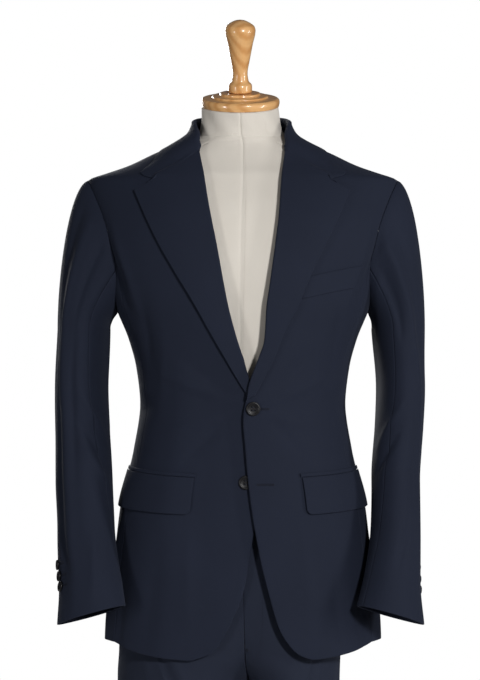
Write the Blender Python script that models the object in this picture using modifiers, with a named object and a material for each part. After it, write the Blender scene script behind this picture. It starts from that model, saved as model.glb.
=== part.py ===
"""A two-piece suit, jacket and trousers, on a limbless dress form with a wooden cap and knob.

Metres, +Z up. The origin is on the floor under the middle of the base, and the front faces -Y.
Left and right are the wearer's: left is +X. Every cloth piece is an open surface that Solidify
turns into a wall, so the cloth is a hollow garment and not a filled body.
"""
import math

import bpy
import numpy as np
from mathutils import Vector

COLLECTION_NAME = "suit_on_dress_form"

JACKET_WALL = 0.0022
COLLAR_WALL = 0.0018
LAPEL_WALL = 0.0020
TRIM_WALL = 0.0014
TROUSER_WALL = 0.0020
SEAM_GAP = 0.0007
ARMHOLE_GAP = 0.0012
JACKET_AXIS = 0.0040
LEFT = 1
RIGHT = -1
SIDE_NAMES = {LEFT: "left", RIGHT: "right"}

FRONT_SEAM_ANGLE = 66.0
BACK_SEAM_ANGLE = 120.0
SIDE_HEM = 0.8440
NECK_POINT = 1.5585
ARMHOLE_TOP = 1.4995
ARMHOLE_BOTTOM = 1.3100
ARMHOLE_SWING = 26.0
VENT_TOP = 1.040
VENT_SPREAD = 2.4
BUTTON_UNDERLAP = 0.0074
NECKLINE_INSET = 0.0040

FRONT_BUTTON_RADIUS = 0.0100
FRONT_BUTTON_THICKNESS = 0.0034
CUFF_BUTTON_RADIUS = 0.0074
CUFF_BUTTON_THICKNESS = 0.0028
CUFF_BUTTON_LEVELS = (6.10, 5.86, 5.62)
CUFF_BUTTON_TURN = 17.0
BUTTON_SEAT = 0.0003
CUFF_BUTTON_LIFT = {LEFT: 0.0001, RIGHT: 0.0005}
UPPER_BUTTON = (0.0180, 1.1750)
LOWER_BUTTON = (0.0080, 1.0730)

FLAP_TOP = 1.0792
FLAP_DROP = 0.0510
FLAP_START = {LEFT: 26.3, RIGHT: 21.2}
FLAP_END = 83.0
FLAP_SLOPE = 0.0060
JET_HEIGHT = 0.0050
WELT_START = 0.0850
WELT_WIDTH = 0.0720
WELT_LEAN = 0.0120
WELT_BOTTOM = 1.3270
WELT_SLOPE = 0.0160
WELT_HEIGHT = 0.0310

WAISTBAND_TOP = 1.0750
WAISTBAND_HEIGHT = 0.0350
FORK_HEIGHT = 0.7650
TROUSER_HEM = 0.0450
SIDE_SEAM_SHARE = 0.0022
CROTCH_SHARE = 0.0026
WAIST_SEAM = 1.0397

CAP_CENTRE = (0.0, 0.0, 1.6140)
CAP_TILT = math.radians(15.5)
POLE_RADIUS = 0.0095
BASE_RADIUS = 0.1900
BASE_THICKNESS = 0.0100
HUB_TOP = 0.0420
FORM_BOTTOM = 0.8400
PART_GAP = 0.0003
TRIM_SEAT = 0.0009


def smooth_between(keys, values, at):
    """Curve through the keyed values: cubic pieces whose slope is the harmonic mean of the slopes
    on both sides of a key, and zero where they change sign, so it never overshoots."""
    step = np.diff(keys)
    slope = np.diff(values) / step
    tangent = np.empty_like(values)
    tangent[0] = slope[0]
    tangent[-1] = slope[-1]
    before = slope[:-1]
    after = slope[1:]
    same_way = before * after > 0
    total = np.where(same_way, before + after, 1.0)
    tangent[1:-1] = np.where(same_way, 2.0 * before * after / total, 0.0)
    at = np.clip(at, keys[0], keys[-1])
    left = np.clip(np.searchsorted(keys, at) - 1, 0, len(step) - 1)
    t = (at - keys[left]) / step[left]
    start = values[left] * (1 + 2 * t) * (1 - t) ** 2
    end = values[left + 1] * t ** 2 * (3 - 2 * t)
    bend = step[left] * (tangent[left] * t * (1 - t) ** 2 - tangent[left + 1] * t ** 2 * (1 - t))
    return start + end + bend


class Table:
    """Rows of numbers under named columns, read between the rows by smooth_between. The first
    column is the key, and it grows from row to row."""

    def __init__(self, columns, rows):
        values = np.array(rows, dtype=float)
        self.names = columns.split()
        self.keys = values[:, 0]
        self.values = {name: values[:, index] for index, name in enumerate(self.names)}

    def at(self, name, key):
        """The named column where the first column has the given value."""
        return smooth_between(self.keys, self.values[name], np.asarray(key, dtype=float))


# Level rings of the jacket's outer side: a ring's front and back halves are superellipses.
JACKET = Table("height half_width front_depth back_depth squareness", [
    (0.8200, 0.1990, 0.1280, 0.1410, 2.30),
    (0.8800, 0.1940, 0.1270, 0.1370, 2.30),
    (0.9850, 0.1817, 0.1270, 0.1290, 2.35),
    (1.0400, 0.1746, 0.1260, 0.1220, 2.35),
    (1.1120, 0.1570, 0.1245, 0.1130, 2.30),
    (1.1810, 0.1476, 0.1255, 0.1080, 2.25),
    (1.2300, 0.1530, 0.1280, 0.1110, 2.25),
    (1.2700, 0.1635, 0.1300, 0.1150, 2.30),
    (1.3220, 0.1840, 0.1310, 0.1190, 2.40),
    (1.3600, 0.1930, 0.1290, 0.1210, 2.40),
    (1.4000, 0.2050, 0.1230, 0.1210, 2.40),
    (1.4360, 0.2120, 0.1140, 0.1180, 2.35),
    (1.4680, 0.2185, 0.1010, 0.1110, 2.25),
    (1.4995, 0.2220, 0.0840, 0.0990, 2.20),
    (1.5037, 0.2130, 0.0810, 0.0965, 2.18),
    (1.5085, 0.1980, 0.0780, 0.0940, 2.16),
    (1.5204, 0.1640, 0.0700, 0.0870, 2.12),
    (1.5384, 0.1260, 0.0610, 0.0790, 2.10),
    (1.5465, 0.1065, 0.0575, 0.0750, 2.10),
    (1.5535, 0.0905, 0.0545, 0.0715, 2.10),
    (1.5600, 0.0785, 0.0525, 0.0690, 2.10),
    (1.5680, 0.0705, 0.0510, 0.0665, 2.10),
    (1.5800, 0.0645, 0.0500, 0.0640, 2.10),
    (1.6100, 0.0620, 0.0490, 0.0620, 2.10),
])

# Edge of each front from the lowest point of its rounded corner up to the gorge, keyed by the run of
# the outline that the same row of cloth meets: side seam to 1, armhole to 2, shoulder seam to 3.
FRONT_EDGE = {
    LEFT: Table("run edge_x edge_height", [
        (0.000, 0.1010, 0.8273),
        (0.025, 0.0832, 0.8339),
        (0.062, 0.0655, 0.8517),
        (0.105, 0.0539, 0.8728),
        (0.180, 0.0403, 0.9180),
        (0.265, 0.0282, 0.9675),
        (0.410, 0.0135, 1.0550),
        (0.523, 0.0073, 1.1200),
        (0.610, 0.0044, 1.1600),
        (0.675, 0.0090, 1.1880),
        (0.725, 0.0139, 1.2095),
        (0.815, 0.0340, 1.2660),
        (0.915, 0.0384, 1.3170),
        (1.000, 0.0421, 1.3436),
        (1.400, 0.0511, 1.4057),
        (1.700, 0.0556, 1.4417),
        (2.000, 0.0597, 1.4968),
        (2.450, 0.0628, 1.5260),
        (3.000, 0.0640, 1.5400),
    ]),
    RIGHT: Table("run edge_x edge_height", [
        (0.000, 0.0680, 0.8259),
        (0.025, 0.0419, 0.8361),
        (0.062, 0.0292, 0.8497),
        (0.105, 0.0187, 0.8675),
        (0.180, -0.0040, 0.9190),
        (0.265, -0.0130, 0.9675),
        (0.410, -0.0260, 1.0550),
        (0.523, -0.0310, 1.1200),
        (0.610, -0.0330, 1.1600),
        (0.675, -0.0290, 1.1880),
        (0.725, -0.0139, 1.2095),
        (0.815, 0.0043, 1.2620),
        (0.915, 0.0184, 1.3170),
        (1.000, 0.0250, 1.3510),
        (1.400, 0.0360, 1.4100),
        (1.700, 0.0430, 1.4450),
        (2.000, 0.0522, 1.4960),
        (2.450, 0.0560, 1.5260),
        (3.000, 0.0580, 1.5400),
    ]),
}
ROLL_RUN = 0.675

# Middle of the back from the hem to the neck, by the same run.
BACK_MIDDLE = Table("run middle_height", [
    (0.00, 0.8400),
    (0.37, 1.0400),
    (0.66, 1.1900),
    (0.79, 1.2500),
    (1.00, 1.3400),
    (1.35, 1.3850),
    (1.70, 1.4350),
    (2.00, 1.4900),
    (2.35, 1.5180),
    (3.00, 1.5590),
])

# Runs of the rows that fronts, side panels and backs share, so that their seams match.
SEAM_RUNS = [0.0, 0.025, 0.062, 0.105, 0.18, 0.265, 0.34, 0.41, 0.465, 0.523, 0.61, 0.675, 0.725,
             0.815, 0.915, 1.0]
ARMHOLE_RUNS = [1.0 + step / 7.0 for step in range(1, 8)]
SHOULDER_RUNS = [2.3, 2.65, 3.0]

# Lapel: its roll line follows the front's edge, and its outer edge ends in the tip and the notch.
LAPEL_COLUMNS = "station roll_x roll_height outer_x outer_height"
LAPEL = {
    LEFT: Table(LAPEL_COLUMNS, [
        (0, 0.0090, 1.1880, 0.0200, 1.1940),
        (1, 0.0139, 1.2095, 0.0330, 1.2180),
        (2, 0.0270, 1.2450, 0.0474, 1.2480),
        (3, 0.0350, 1.2700, 0.0580, 1.2760),
        (4, 0.0384, 1.3170, 0.0832, 1.3260),
        (5, 0.0421, 1.3436, 0.0990, 1.3645),
        (6, 0.0511, 1.4057, 0.1200, 1.4075),
        (7, 0.0556, 1.4417, 0.1380, 1.4440),
        (8, 0.0590, 1.4850, 0.1529, 1.4792),
        (9, 0.0630, 1.5360, 0.1260, 1.4930),
    ]),
    RIGHT: Table(LAPEL_COLUMNS, [
        (0, -0.0205, 1.1990, -0.0095, 1.1945),
        (1, -0.0139, 1.2095, 0.0010, 1.2110),
        (2, -0.0019, 1.2450, 0.0161, 1.2364),
        (3, 0.0060, 1.2700, 0.0319, 1.2648),
        (4, 0.0184, 1.3170, 0.0605, 1.3170),
        (5, 0.0240, 1.3460, 0.0892, 1.3645),
        (6, 0.0350, 1.4050, 0.1120, 1.4040),
        (7, 0.0425, 1.4420, 0.1310, 1.4420),
        (8, 0.0500, 1.4850, 0.1473, 1.4792),
        (9, 0.0570, 1.5360, 0.1187, 1.4940),
    ]),
}

# Collar from the middle of the back to the gorge: fold line, foot of the stand, edge of the fall.
COLLAR = Table("station fold_angle fold_height foot_angle foot_height edge_angle edge_height", [
    (0, 180, 1.5970, 180, 1.5600, 180, 1.5410),
    (1, 135, 1.5950, 135, 1.5605, 136, 1.5390),
    (2, 90, 1.5860, 90, 1.5620, 90, 1.5480),
    (3, 59, 1.5700, 61, 1.5580, 54, 1.5250),
    (4, 41, 1.5550, 46, 1.5500, 41, 1.5070),
    (5, 30, 1.5440, 35, 1.5445, 33, 1.4970),
])

# Rings of a hanging sleeve below the armhole: the tilts are the rise outwards and forwards.
SLEEVE = Table("level height out forward half_width half_depth tilt_out tilt_forward back_seam front_seam", [
    (1, 1.2850, 0.2225, 0.0000, 0.0385, 0.0730, 0.00, 0.00, -72, 112),
    (2, 1.2150, 0.2250, -0.0020, 0.0400, 0.0690, 0.00, 0.05, -68, 116),
    (3, 1.1400, 0.2268, 0.0000, 0.0402, 0.0640, -0.02, 0.12, -60, 122),
    (4, 1.0700, 0.2262, 0.0200, 0.0402, 0.0580, -0.06, 0.22, -44, 138),
    (5, 1.0000, 0.2240, 0.0480, 0.0412, 0.0510, -0.12, 0.30, -20, 158),
    (6, 0.9350, 0.2160, 0.0800, 0.0440, 0.0440, -0.20, 0.29, 8, 182),
    (7, 0.8880, 0.2070, 0.1060, 0.0475, 0.0400, -0.28, 0.19, 20, 192),
])
# Each sleeve hangs in its own way: how far its rings move outwards, and how much wider they get.
SLEEVE_HANG = {
    LEFT: Table("level shift wider", [
        (1, 0.0049, -0.0007),
        (2, 0.0060, -0.0055),
        (3, 0.0002, -0.0049),
        (4, -0.0056, -0.0056),
        (5, -0.0056, -0.0058),
        (6, -0.0043, -0.0046),
        (7, 0.0000, -0.0005),
    ]),
    RIGHT: Table("level shift wider", [
        (1, 0.0055, -0.0018),
        (2, 0.0068, -0.0030),
        (3, 0.0022, -0.0008),
        (4, -0.0012, 0.0006),
        (5, -0.0040, -0.0006),
        (6, -0.0035, -0.0007),
        (7, 0.0015, 0.0000),
    ]),
}

SLEEVE_END = 7.0
SLEEVE_TWIST = {LEFT: 0.45, RIGHT: 1.0}
CROWN_REACH = {LEFT: 0.35, RIGHT: 0.38}
CROWN_FALL = 1.05

# Trouser rings. The outer edges differ a little, because the legs hang freely from the waist.
TROUSER = Table("height right_outer left_outer right_inner left_inner front_depth back_depth wrap", [
    (TROUSER_HEM, 0.1080, 0.1240, -0.0180, 0.0290, 0.0640, 0.0680, 180),
    (0.2500, 0.1110, 0.1240, -0.0170, 0.0270, 0.0690, 0.0730, 180),
    (0.4500, 0.1240, 0.1260, -0.0160, 0.0230, 0.0790, 0.0850, 180),
    (0.6200, 0.1520, 0.1340, -0.0155, 0.0195, 0.0920, 0.1000, 180),
    (0.7650, 0.1760, 0.1430, -0.0145, 0.0155, 0.1010, 0.1120, 176),
    (0.7900, 0.1760, 0.1435, -0.0115, 0.0125, 0.1030, 0.1150, 150),
    (0.8250, 0.1740, 0.1450, -0.0072, 0.0072, 0.1060, 0.1180, 118),
    (0.8700, 0.1730, 0.1490, -0.0060, 0.0060, 0.1090, 0.1210, 96),
    (0.9300, 0.1690, 0.1560, -0.0045, 0.0045, 0.1110, 0.1220, 90),
    (0.9900, 0.1570, 0.1520, -0.0030, 0.0030, 0.1100, 0.1150, 90),
    (WAIST_SEAM, 0.1430, 0.1430, -0.0015, 0.0015, 0.1085, 0.1065, 90),
])
WAIST_HALF_WIDTH = 0.1425
WAIST_FRONT = 0.1080
WAIST_BACK = 0.1060

# Rings of the dress form: lean is the rise of the ring's plane towards the back, and shift moves the
# ring to the wearer's left.
FORM = Table("level height half_width front_depth back_depth squareness lean shift", [
    (0, 0.8400, 0.1310, 0.0960, 0.1040, 2.00, 0.0, 0.000),
    (1, 0.9200, 0.1390, 0.1000, 0.1080, 2.00, 0.0, 0.000),
    (2, 1.0000, 0.1393, 0.1030, 0.1040, 2.00, 0.0, 0.000),
    (3, 1.0400, 0.1396, 0.1050, 0.1030, 2.00, 0.0, 0.000),
    (4, 1.0750, 0.1396, 0.1050, 0.1030, 2.00, 0.0, 0.000),
    (5, 1.1250, 0.1340, 0.1020, 0.0980, 2.10, 0.0, 0.000),
    (6, 1.1800, 0.1320, 0.1030, 0.0960, 2.20, 0.0, 0.000),
    (7, 1.2500, 0.1420, 0.1120, 0.1000, 2.25, 0.0, 0.000),
    (8, 1.3200, 0.1630, 0.1190, 0.1070, 2.30, 0.0, 0.000),
    (9, 1.3800, 0.1750, 0.1180, 0.1100, 2.30, 0.0, 0.001),
    (10, 1.4300, 0.1860, 0.1090, 0.1080, 2.25, 0.0, 0.002),
    (11, 1.4700, 0.1960, 0.0940, 0.1010, 2.20, 0.0, 0.003),
    (12, 1.4960, 0.2030, 0.0790, 0.0900, 2.15, 0.0, 0.004),
    (13, 1.5050, 0.1950, 0.0750, 0.0850, 2.12, 0.0, 0.004),
    (14, 1.5170, 0.1625, 0.0670, 0.0800, 2.10, 0.0, 0.004),
    (15, 1.5350, 0.1245, 0.0570, 0.0710, 2.05, 0.0, 0.004),
    (16, 1.5500, 0.0885, 0.0515, 0.0650, 2.00, 0.04, 0.004),
    (17, 1.5600, 0.0665, 0.0510, 0.0600, 2.00, 0.10, 0.003),
    (18, 1.5750, 0.0575, 0.0515, 0.0570, 2.00, 0.18, 0.001),
    (19, 1.6058, 0.0550, 0.0535, 0.0550, 2.00, 0.277, 0.000),
])

CLOTH_LOOKS = {
    "jacket_cloth": ((0.016, 0.019, 0.034, 1.0), 0.82),
    "trouser_cloth": ((0.022, 0.026, 0.042, 1.0), 0.82),
    "horn_button": ((0.010, 0.011, 0.014, 1.0), 0.35),
    "form_linen": ((0.74, 0.68, 0.60, 1.0), 0.90),
    "varnished_wood": ((0.60, 0.36, 0.18, 1.0), 0.30),
    "brushed_steel": ((0.55, 0.55, 0.56, 1.0), 0.35),
}
METALS = {"brushed_steel"}


def clear_scene():
    """Start from an empty scene without closing the file that the script runs from."""
    for item in list(bpy.data.objects):
        bpy.data.objects.remove(item, do_unlink=True)


def make_material(object_name, look):
    """A Principled material of the object's own, in one of the named finishes."""
    colour, roughness = CLOTH_LOOKS[look]
    material = bpy.data.materials.new(object_name + "_" + look)
    material.use_nodes = True
    shader = material.node_tree.nodes["Principled BSDF"]
    shader.inputs["Base Color"].default_value = colour
    shader.inputs["Roughness"].default_value = roughness
    shader.inputs["Metallic"].default_value = 1.0 if look in METALS else 0.0
    return material


def add_mesh(name, vertices, faces, look):
    """Link a new mesh object under the suit's collection."""
    mesh = bpy.data.meshes.new(name)
    mesh.from_pydata([tuple(map(float, vertex)) for vertex in vertices], [], faces)
    mesh.materials.append(make_material(name, look))
    made = bpy.data.objects.new(name, mesh)
    bpy.data.collections[COLLECTION_NAME].objects.link(made)
    mesh.shade_smooth()
    mesh.set_sharp_from_angle(angle=math.radians(40))
    return made


def grid_faces(rows, columns, wrap=False):
    """Quads between the points of a grid, row by row; wrap joins the last column to the first."""
    faces = []
    last = columns if wrap else columns - 1
    for row in range(rows - 1):
        for column in range(last):
            after = (column + 1) % columns
            low = row * columns
            high = low + columns
            faces.append((low + column, low + after, high + after, high + column))
    return faces


def add_cloth(name, points, wall, look, inside):
    """A wall from a grid of points on its outer side. The point inside lies behind the middle of
    the grid, and the wall is thickened towards it."""
    rows, columns = points.shape[:2]
    row = rows // 2
    column = columns // 2
    across = points[row, column] - points[row, column - 1]
    up = points[row, column] - points[row - 1, column]
    if np.dot(np.cross(across, up), points[row, column] - np.array(inside)) < 0:
        points = points[:, ::-1]
    made = add_mesh(name, points.reshape(-1, 3), grid_faces(rows, columns), look)
    shell = made.modifiers.new("wall", "SOLIDIFY")
    shell.thickness = wall
    shell.offset = -1.0
    return made


def ring_point(centre_x, angle, height, half_width, front_depth, back_depth, squareness):
    """Point of a level superellipse: 0 degrees is the front, 90 the wearer's left, 180 the back."""
    turn = np.radians(angle)
    power = 2.0 / squareness
    sine = np.sin(turn)
    cosine = np.cos(turn)
    depth = np.where(cosine > 0, front_depth, back_depth)
    x = centre_x + half_width * np.sign(sine) * np.abs(sine) ** power
    y = -depth * np.sign(cosine) * np.abs(cosine) ** power
    return np.stack(np.broadcast_arrays(x, y, height), axis=-1)


def jacket_skin(angle, height):
    """Point of the jacket's outer side."""
    return ring_point(JACKET_AXIS, angle, height, JACKET.at("half_width", height),
                      JACKET.at("front_depth", height), JACKET.at("back_depth", height),
                      JACKET.at("squareness", height))


def jacket_normal(angle, height):
    """Outward direction of the jacket's outer side, from its slopes around and upwards."""
    turn = 0.25
    climb = 0.0004
    around = jacket_skin(angle + turn, height) - jacket_skin(angle - turn, height)
    up = jacket_skin(angle, height + climb) - jacket_skin(angle, height - climb)
    normal = np.cross(around, up)
    return normal / np.linalg.norm(normal, axis=-1, keepdims=True)


def jacket_point(angle, height, lift=0.0):
    """Point of the jacket's outer side, moved out by the lift."""
    angle = np.asarray(angle, dtype=float)
    height = np.asarray(height, dtype=float)
    raised = np.asarray(lift, dtype=float)[..., None]
    return jacket_skin(angle, height) + jacket_normal(angle, height) * raised


def angle_at(x, height):
    """Angle on the front of the jacket's ring at which it is x from the floor's centre line."""
    share = (np.asarray(x, dtype=float) - JACKET_AXIS) / JACKET.at("half_width", height)
    share = np.clip(share, -1.0, 1.0)
    sine = np.sign(share) * np.abs(share) ** (JACKET.at("squareness", height) / 2.0)
    return np.degrees(np.arcsin(sine))


def underlap(angle, height):
    """How deep the right front lies under the left one: all of it at the button stand, nothing
    at the side or above the V."""
    near_edge = np.clip((np.asarray(angle) + 38.0) / 24.0, 0.0, 1.0)
    below_roll = np.clip((1.300 - np.asarray(height)) / 0.080, 0.0, 1.0)
    near_edge = near_edge ** 2 * (3 - 2 * near_edge)
    below_roll = below_roll ** 2 * (3 - 2 * below_roll)
    return BUTTON_UNDERLAP * near_edge * below_roll


def front_point(side, angle, height, lift):
    """Point on a front panel, moved out by the lift; the right one lies under the left one."""
    if side == RIGHT:
        lift = lift - underlap(angle, height)
    return jacket_point(angle, height, lift)


def back_point(side, angle, height, lift):
    """Point on a back panel, moved out by the lift."""
    return jacket_point(angle, height, lift)


def rows_of(table, rows_between):
    """Row keys of a table with a few more rows between each two."""
    count = int(table.keys[-1] - table.keys[0]) * rows_between + 1
    return np.linspace(table.keys[0], table.keys[-1], count)


def armhole(turn):
    """Angle and height of the armhole: 0 degrees of turn is the shoulder, 90 the front."""
    turn = np.radians(turn)
    middle = 0.5 * (ARMHOLE_TOP + ARMHOLE_BOTTOM)
    reach = 0.5 * (ARMHOLE_TOP - ARMHOLE_BOTTOM)
    return 90.0 - ARMHOLE_SWING * np.sin(turn), middle + reach * np.cos(turn)


def front_seam(height):
    """Angle of the seam between front and side panel: it bends forward towards the armhole."""
    bend = np.clip((np.asarray(height) - 1.20) / 0.18, 0.0, 1.0)
    return FRONT_SEAM_ANGLE - 1.2 * bend ** 2


def back_seam(height):
    """Angle of the seam between side panel and back: it bends in towards the armhole."""
    bend = np.clip((np.asarray(height) - 1.18) / 0.19, 0.0, 1.0)
    return BACK_SEAM_ANGLE - 5.5 * bend ** 2


FRONT_JUNCTION_TURN = 180.0 - math.degrees(math.asin((90.0 - FRONT_SEAM_ANGLE + 1.2) / ARMHOLE_SWING))
BACK_JUNCTION_TURN = math.degrees(math.asin((BACK_SEAM_ANGLE - 5.5 - 90.0) / ARMHOLE_SWING)) - 180.0


def panel_outline(run, junction_turn, seam):
    """Angle and height along a panel's outer side: up the seam to 1, round the armhole to the
    shoulder point at 2, and along the shoulder seam to the neck at 3."""
    run = np.asarray(run, dtype=float)
    junction = armhole(junction_turn)[1]
    seam_height = SIDE_HEM + (junction - SIDE_HEM) * np.clip(run, 0.0, 1.0)
    arm_angle, arm_height = armhole(junction_turn * np.clip(2.0 - run, 0.0, 1.0))
    shoulder_height = ARMHOLE_TOP + (NECK_POINT - ARMHOLE_TOP) * np.clip(run - 2.0, 0.0, 1.0)
    angle = np.where(run <= 1.0, seam(seam_height), np.where(run <= 2.0, arm_angle, 90.0))
    height = np.where(run <= 1.0, seam_height, np.where(run <= 2.0, arm_height, shoulder_height))
    return angle, height


def seam_shift(height):
    """Half a seam gap, in degrees round the ring at a height."""
    return np.degrees(0.5 * SEAM_GAP / JACKET.at("front_depth", height))


def add_panel(name, side, middle, middle_height, outer, outer_height, raise_point):
    """Panel whose rows go from its middle edge to its seam, armhole or shoulder edge. The rows
    bend up late, and the last columns are narrow, so that the wall ends square at the seam."""
    across = 1.0 - (1.0 - np.linspace(0.0, 1.0, 10)) ** 1.6
    angle = middle[:, None] + (outer - middle)[:, None] * across
    height = middle_height[:, None] + (outer_height - middle_height)[:, None] * across ** 1.5
    points = raise_point(side, angle, height, np.zeros_like(angle))
    add_cloth(name + "_" + SIDE_NAMES[side], points, JACKET_WALL, "jacket_cloth", (0, 0, 1.2))


def add_front(side):
    """Front panel from its edge or roll line to the side seam, armhole and shoulder seam."""
    run = np.array(SEAM_RUNS + ARMHOLE_RUNS + SHOULDER_RUNS)
    table = FRONT_EDGE[side]
    rolled = np.clip((run - ROLL_RUN) / 0.05, 0.0, 1.0)
    edge_x = table.at("edge_x", run) + NECKLINE_INSET * rolled
    edge_height = table.at("edge_height", run)
    outer, outer_height = panel_outline(run, FRONT_JUNCTION_TURN, front_seam)
    outer = side * (outer - seam_shift(outer_height))
    add_panel("front", side, angle_at(side * edge_x, edge_height), edge_height, outer, outer_height,
              front_point)


def add_side(side):
    """Side panel under the arm, between the front and back seams, with a slit at the vent."""
    turn = np.linspace(FRONT_JUNCTION_TURN, 360.0 + BACK_JUNCTION_TURN, 9)[None, :]
    top_angle, top_height = armhole(turn)
    run = np.array(SEAM_RUNS)[:, None]
    height = SIDE_HEM + (top_height - SEAM_GAP - SIDE_HEM) * run
    across = (top_angle - top_angle[0, 0]) / (top_angle[0, -1] - top_angle[0, 0])
    shift = seam_shift(height)
    spread = VENT_SPREAD * np.clip((VENT_TOP - height) / 0.2, 0.0, 1.0)
    start = front_seam(height) + shift
    end = back_seam(height) - shift - spread
    points = jacket_point(side * (start + (end - start) * across), height)
    add_cloth("side_" + SIDE_NAMES[side], points, JACKET_WALL, "jacket_cloth", (0, 0, 1.1))


def add_back(side):
    """Half of the back, from the centre seam to the side seam, armhole and shoulder seam."""
    run = np.array(SEAM_RUNS + ARMHOLE_RUNS + SHOULDER_RUNS)
    middle_height = BACK_MIDDLE.at("middle_height", run)
    outer, outer_height = panel_outline(run, BACK_JUNCTION_TURN, back_seam)
    outer = side * (outer + seam_shift(outer_height))
    middle = side * (180.0 - seam_shift(middle_height))
    add_panel("back", side, middle, middle_height, outer, outer_height, back_point)


def add_lapel(side):
    """Lapel on the front's own points: it rolls out at the fold and lies 1 mm off the front."""
    table = LAPEL[side]
    station = rows_of(table, 2)
    roll_height = table.at("roll_height", station)
    outer_height = table.at("outer_height", station)
    roll = angle_at(side * table.at("roll_x", station), roll_height)
    outer = angle_at(side * table.at("outer_x", station), outer_height)
    across = np.linspace(0.0, 1.0, 8)[None, :] ** 1.8
    angle = roll[:, None] + (outer - roll)[:, None] * across
    height = roll_height[:, None] + (outer_height - roll_height)[:, None] * across
    width = np.linalg.norm(jacket_skin(outer, outer_height) - jacket_skin(roll, roll_height), axis=-1)
    distance = width[:, None] * across
    belly = 0.0012 * np.sin(math.pi * np.clip(distance / 0.09, 0.0, 1.0))
    full = 0.0041 + 0.0008 * np.clip((station - 1.0) / 2.0, 0.0, 1.0)[:, None]
    fold = 0.0030 - 0.0040 * np.clip(station / 1.5, 0.0, 1.0)[:, None]
    lift = full - (full - fold) * np.exp(-distance / 0.0020) + belly
    points = front_point(side, angle, height, lift)
    add_cloth("lapel_" + SIDE_NAMES[side], points, LAPEL_WALL, "jacket_cloth", (0, 0, 1.3))


def collar_grid():
    """Collar points from the right gorge round the back to the left one, and across from the
    foot of the stand over the fold to the edge of the fall."""
    half = np.concatenate([np.linspace(5, 2, 7), np.linspace(2, 0, 5)[1:]])
    station = np.concatenate([half, half[::-1][1:]])
    side = np.concatenate([-np.ones(len(half)), np.ones(len(half) - 1)])
    fold = np.stack([COLLAR.at("fold_angle", station), COLLAR.at("fold_height", station)], -1)
    foot = np.stack([COLLAR.at("foot_angle", station), COLLAR.at("foot_height", station)], -1)
    edge = np.stack([COLLAR.at("edge_angle", station), COLLAR.at("edge_height", station)], -1)
    columns = []
    for share in (1.0, 0.55, 0.16):
        place = fold + (foot - fold) * share
        columns.append((place, -0.0022))
    columns.append((fold + (foot - fold) * 0.02, -0.0006))
    columns.append((fold, 0.0014))
    for share, lift in ((0.02, 0.0034), (0.09, 0.0047), (0.32, 0.0046), (0.66, 0.0042), (1.0, 0.0038)):
        columns.append((fold + (edge - fold) * share, lift))
    points = []
    for place, lift in columns:
        angle = side * place[:, 0]
        angle = np.where(angle < 0, angle + 360.0, angle)
        points.append(jacket_point(angle, place[:, 1], np.full(len(angle), lift)))
    return np.stack(points, axis=0)


def add_collar():
    """Folded collar, with its gorge seams 0.6 mm from the lapels."""
    add_cloth("collar", collar_grid(), COLLAR_WALL, "jacket_cloth", (0, 0, 1.5))


def sleeve_ring(side, turn, level):
    """Point of a sleeve's tilted ring: 0 degrees of turn is outwards, 90 forwards."""
    turn = np.radians(turn)
    hang = SLEEVE_HANG[side]
    out = (SLEEVE.at("half_width", level) + hang.at("wider", level)) * np.cos(turn)
    forward = SLEEVE.at("half_depth", level) * np.sin(turn)
    x = side * (SLEEVE.at("out", level) + hang.at("shift", level) + out) + JACKET_AXIS * 0.5
    y = -(SLEEVE.at("forward", level) + forward)
    z = SLEEVE.at("height", level) + SLEEVE.at("tilt_out", level) * out
    z = z + SLEEVE.at("tilt_forward", level) * forward
    return np.stack(np.broadcast_arrays(x, y, z), axis=-1)


def sleeve_point(side, turn, level):
    """Point of a sleeve: below level 1 its rings, and above it curves that leave the armhole
    outwards and come down into the first ring."""
    turn, level = np.broadcast_arrays(np.asarray(turn, float), np.asarray(level, float))
    below = sleeve_ring(side, turn, np.maximum(level, 1.0))
    angle, height = armhole(turn)
    start = jacket_skin(side * angle, height)
    start = start + np.array([side * ARMHOLE_GAP, 0.0, 0.0])
    end = sleeve_ring(side, turn, np.ones_like(level))
    span = np.linalg.norm(end - start, axis=-1, keepdims=True)
    share_up = (0.5 + 0.5 * np.cos(np.radians(turn)))[..., None]
    leave_up = np.array([side * 1.0, 0.0, -0.25])
    leave_down = np.array([side * 0.10, 0.0, -1.0])
    leave = leave_up * share_up + leave_down * (1.0 - share_up)
    arrive = np.array([0.0, 0.0, -1.0])
    t = np.clip(level, 0.0, 1.0)[..., None]
    crown = start * (1 + 2 * t) * (1 - t) ** 2 + end * t ** 2 * (3 - 2 * t)
    crown = crown + leave * span * CROWN_REACH[side] * t * (1 - t) ** 2
    crown = crown - arrive * span * CROWN_FALL * t ** 2 * (1 - t)
    return np.where(level[..., None] < 1.0, crown, below)


def sleeve_seams(side, level):
    """Turns of the back and front seams; towards the cuff the sleeve twists outwards."""
    level = np.maximum(np.asarray(level, float), 1.0)
    back = SLEEVE.at("back_seam", level)
    front = SLEEVE.at("front_seam", level)
    start_back = SLEEVE.values["back_seam"][0]
    start_front = SLEEVE.values["front_seam"][0]
    twist = SLEEVE_TWIST[side]
    return start_back + (back - start_back) * twist, start_front + (front - start_front) * twist


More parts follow.
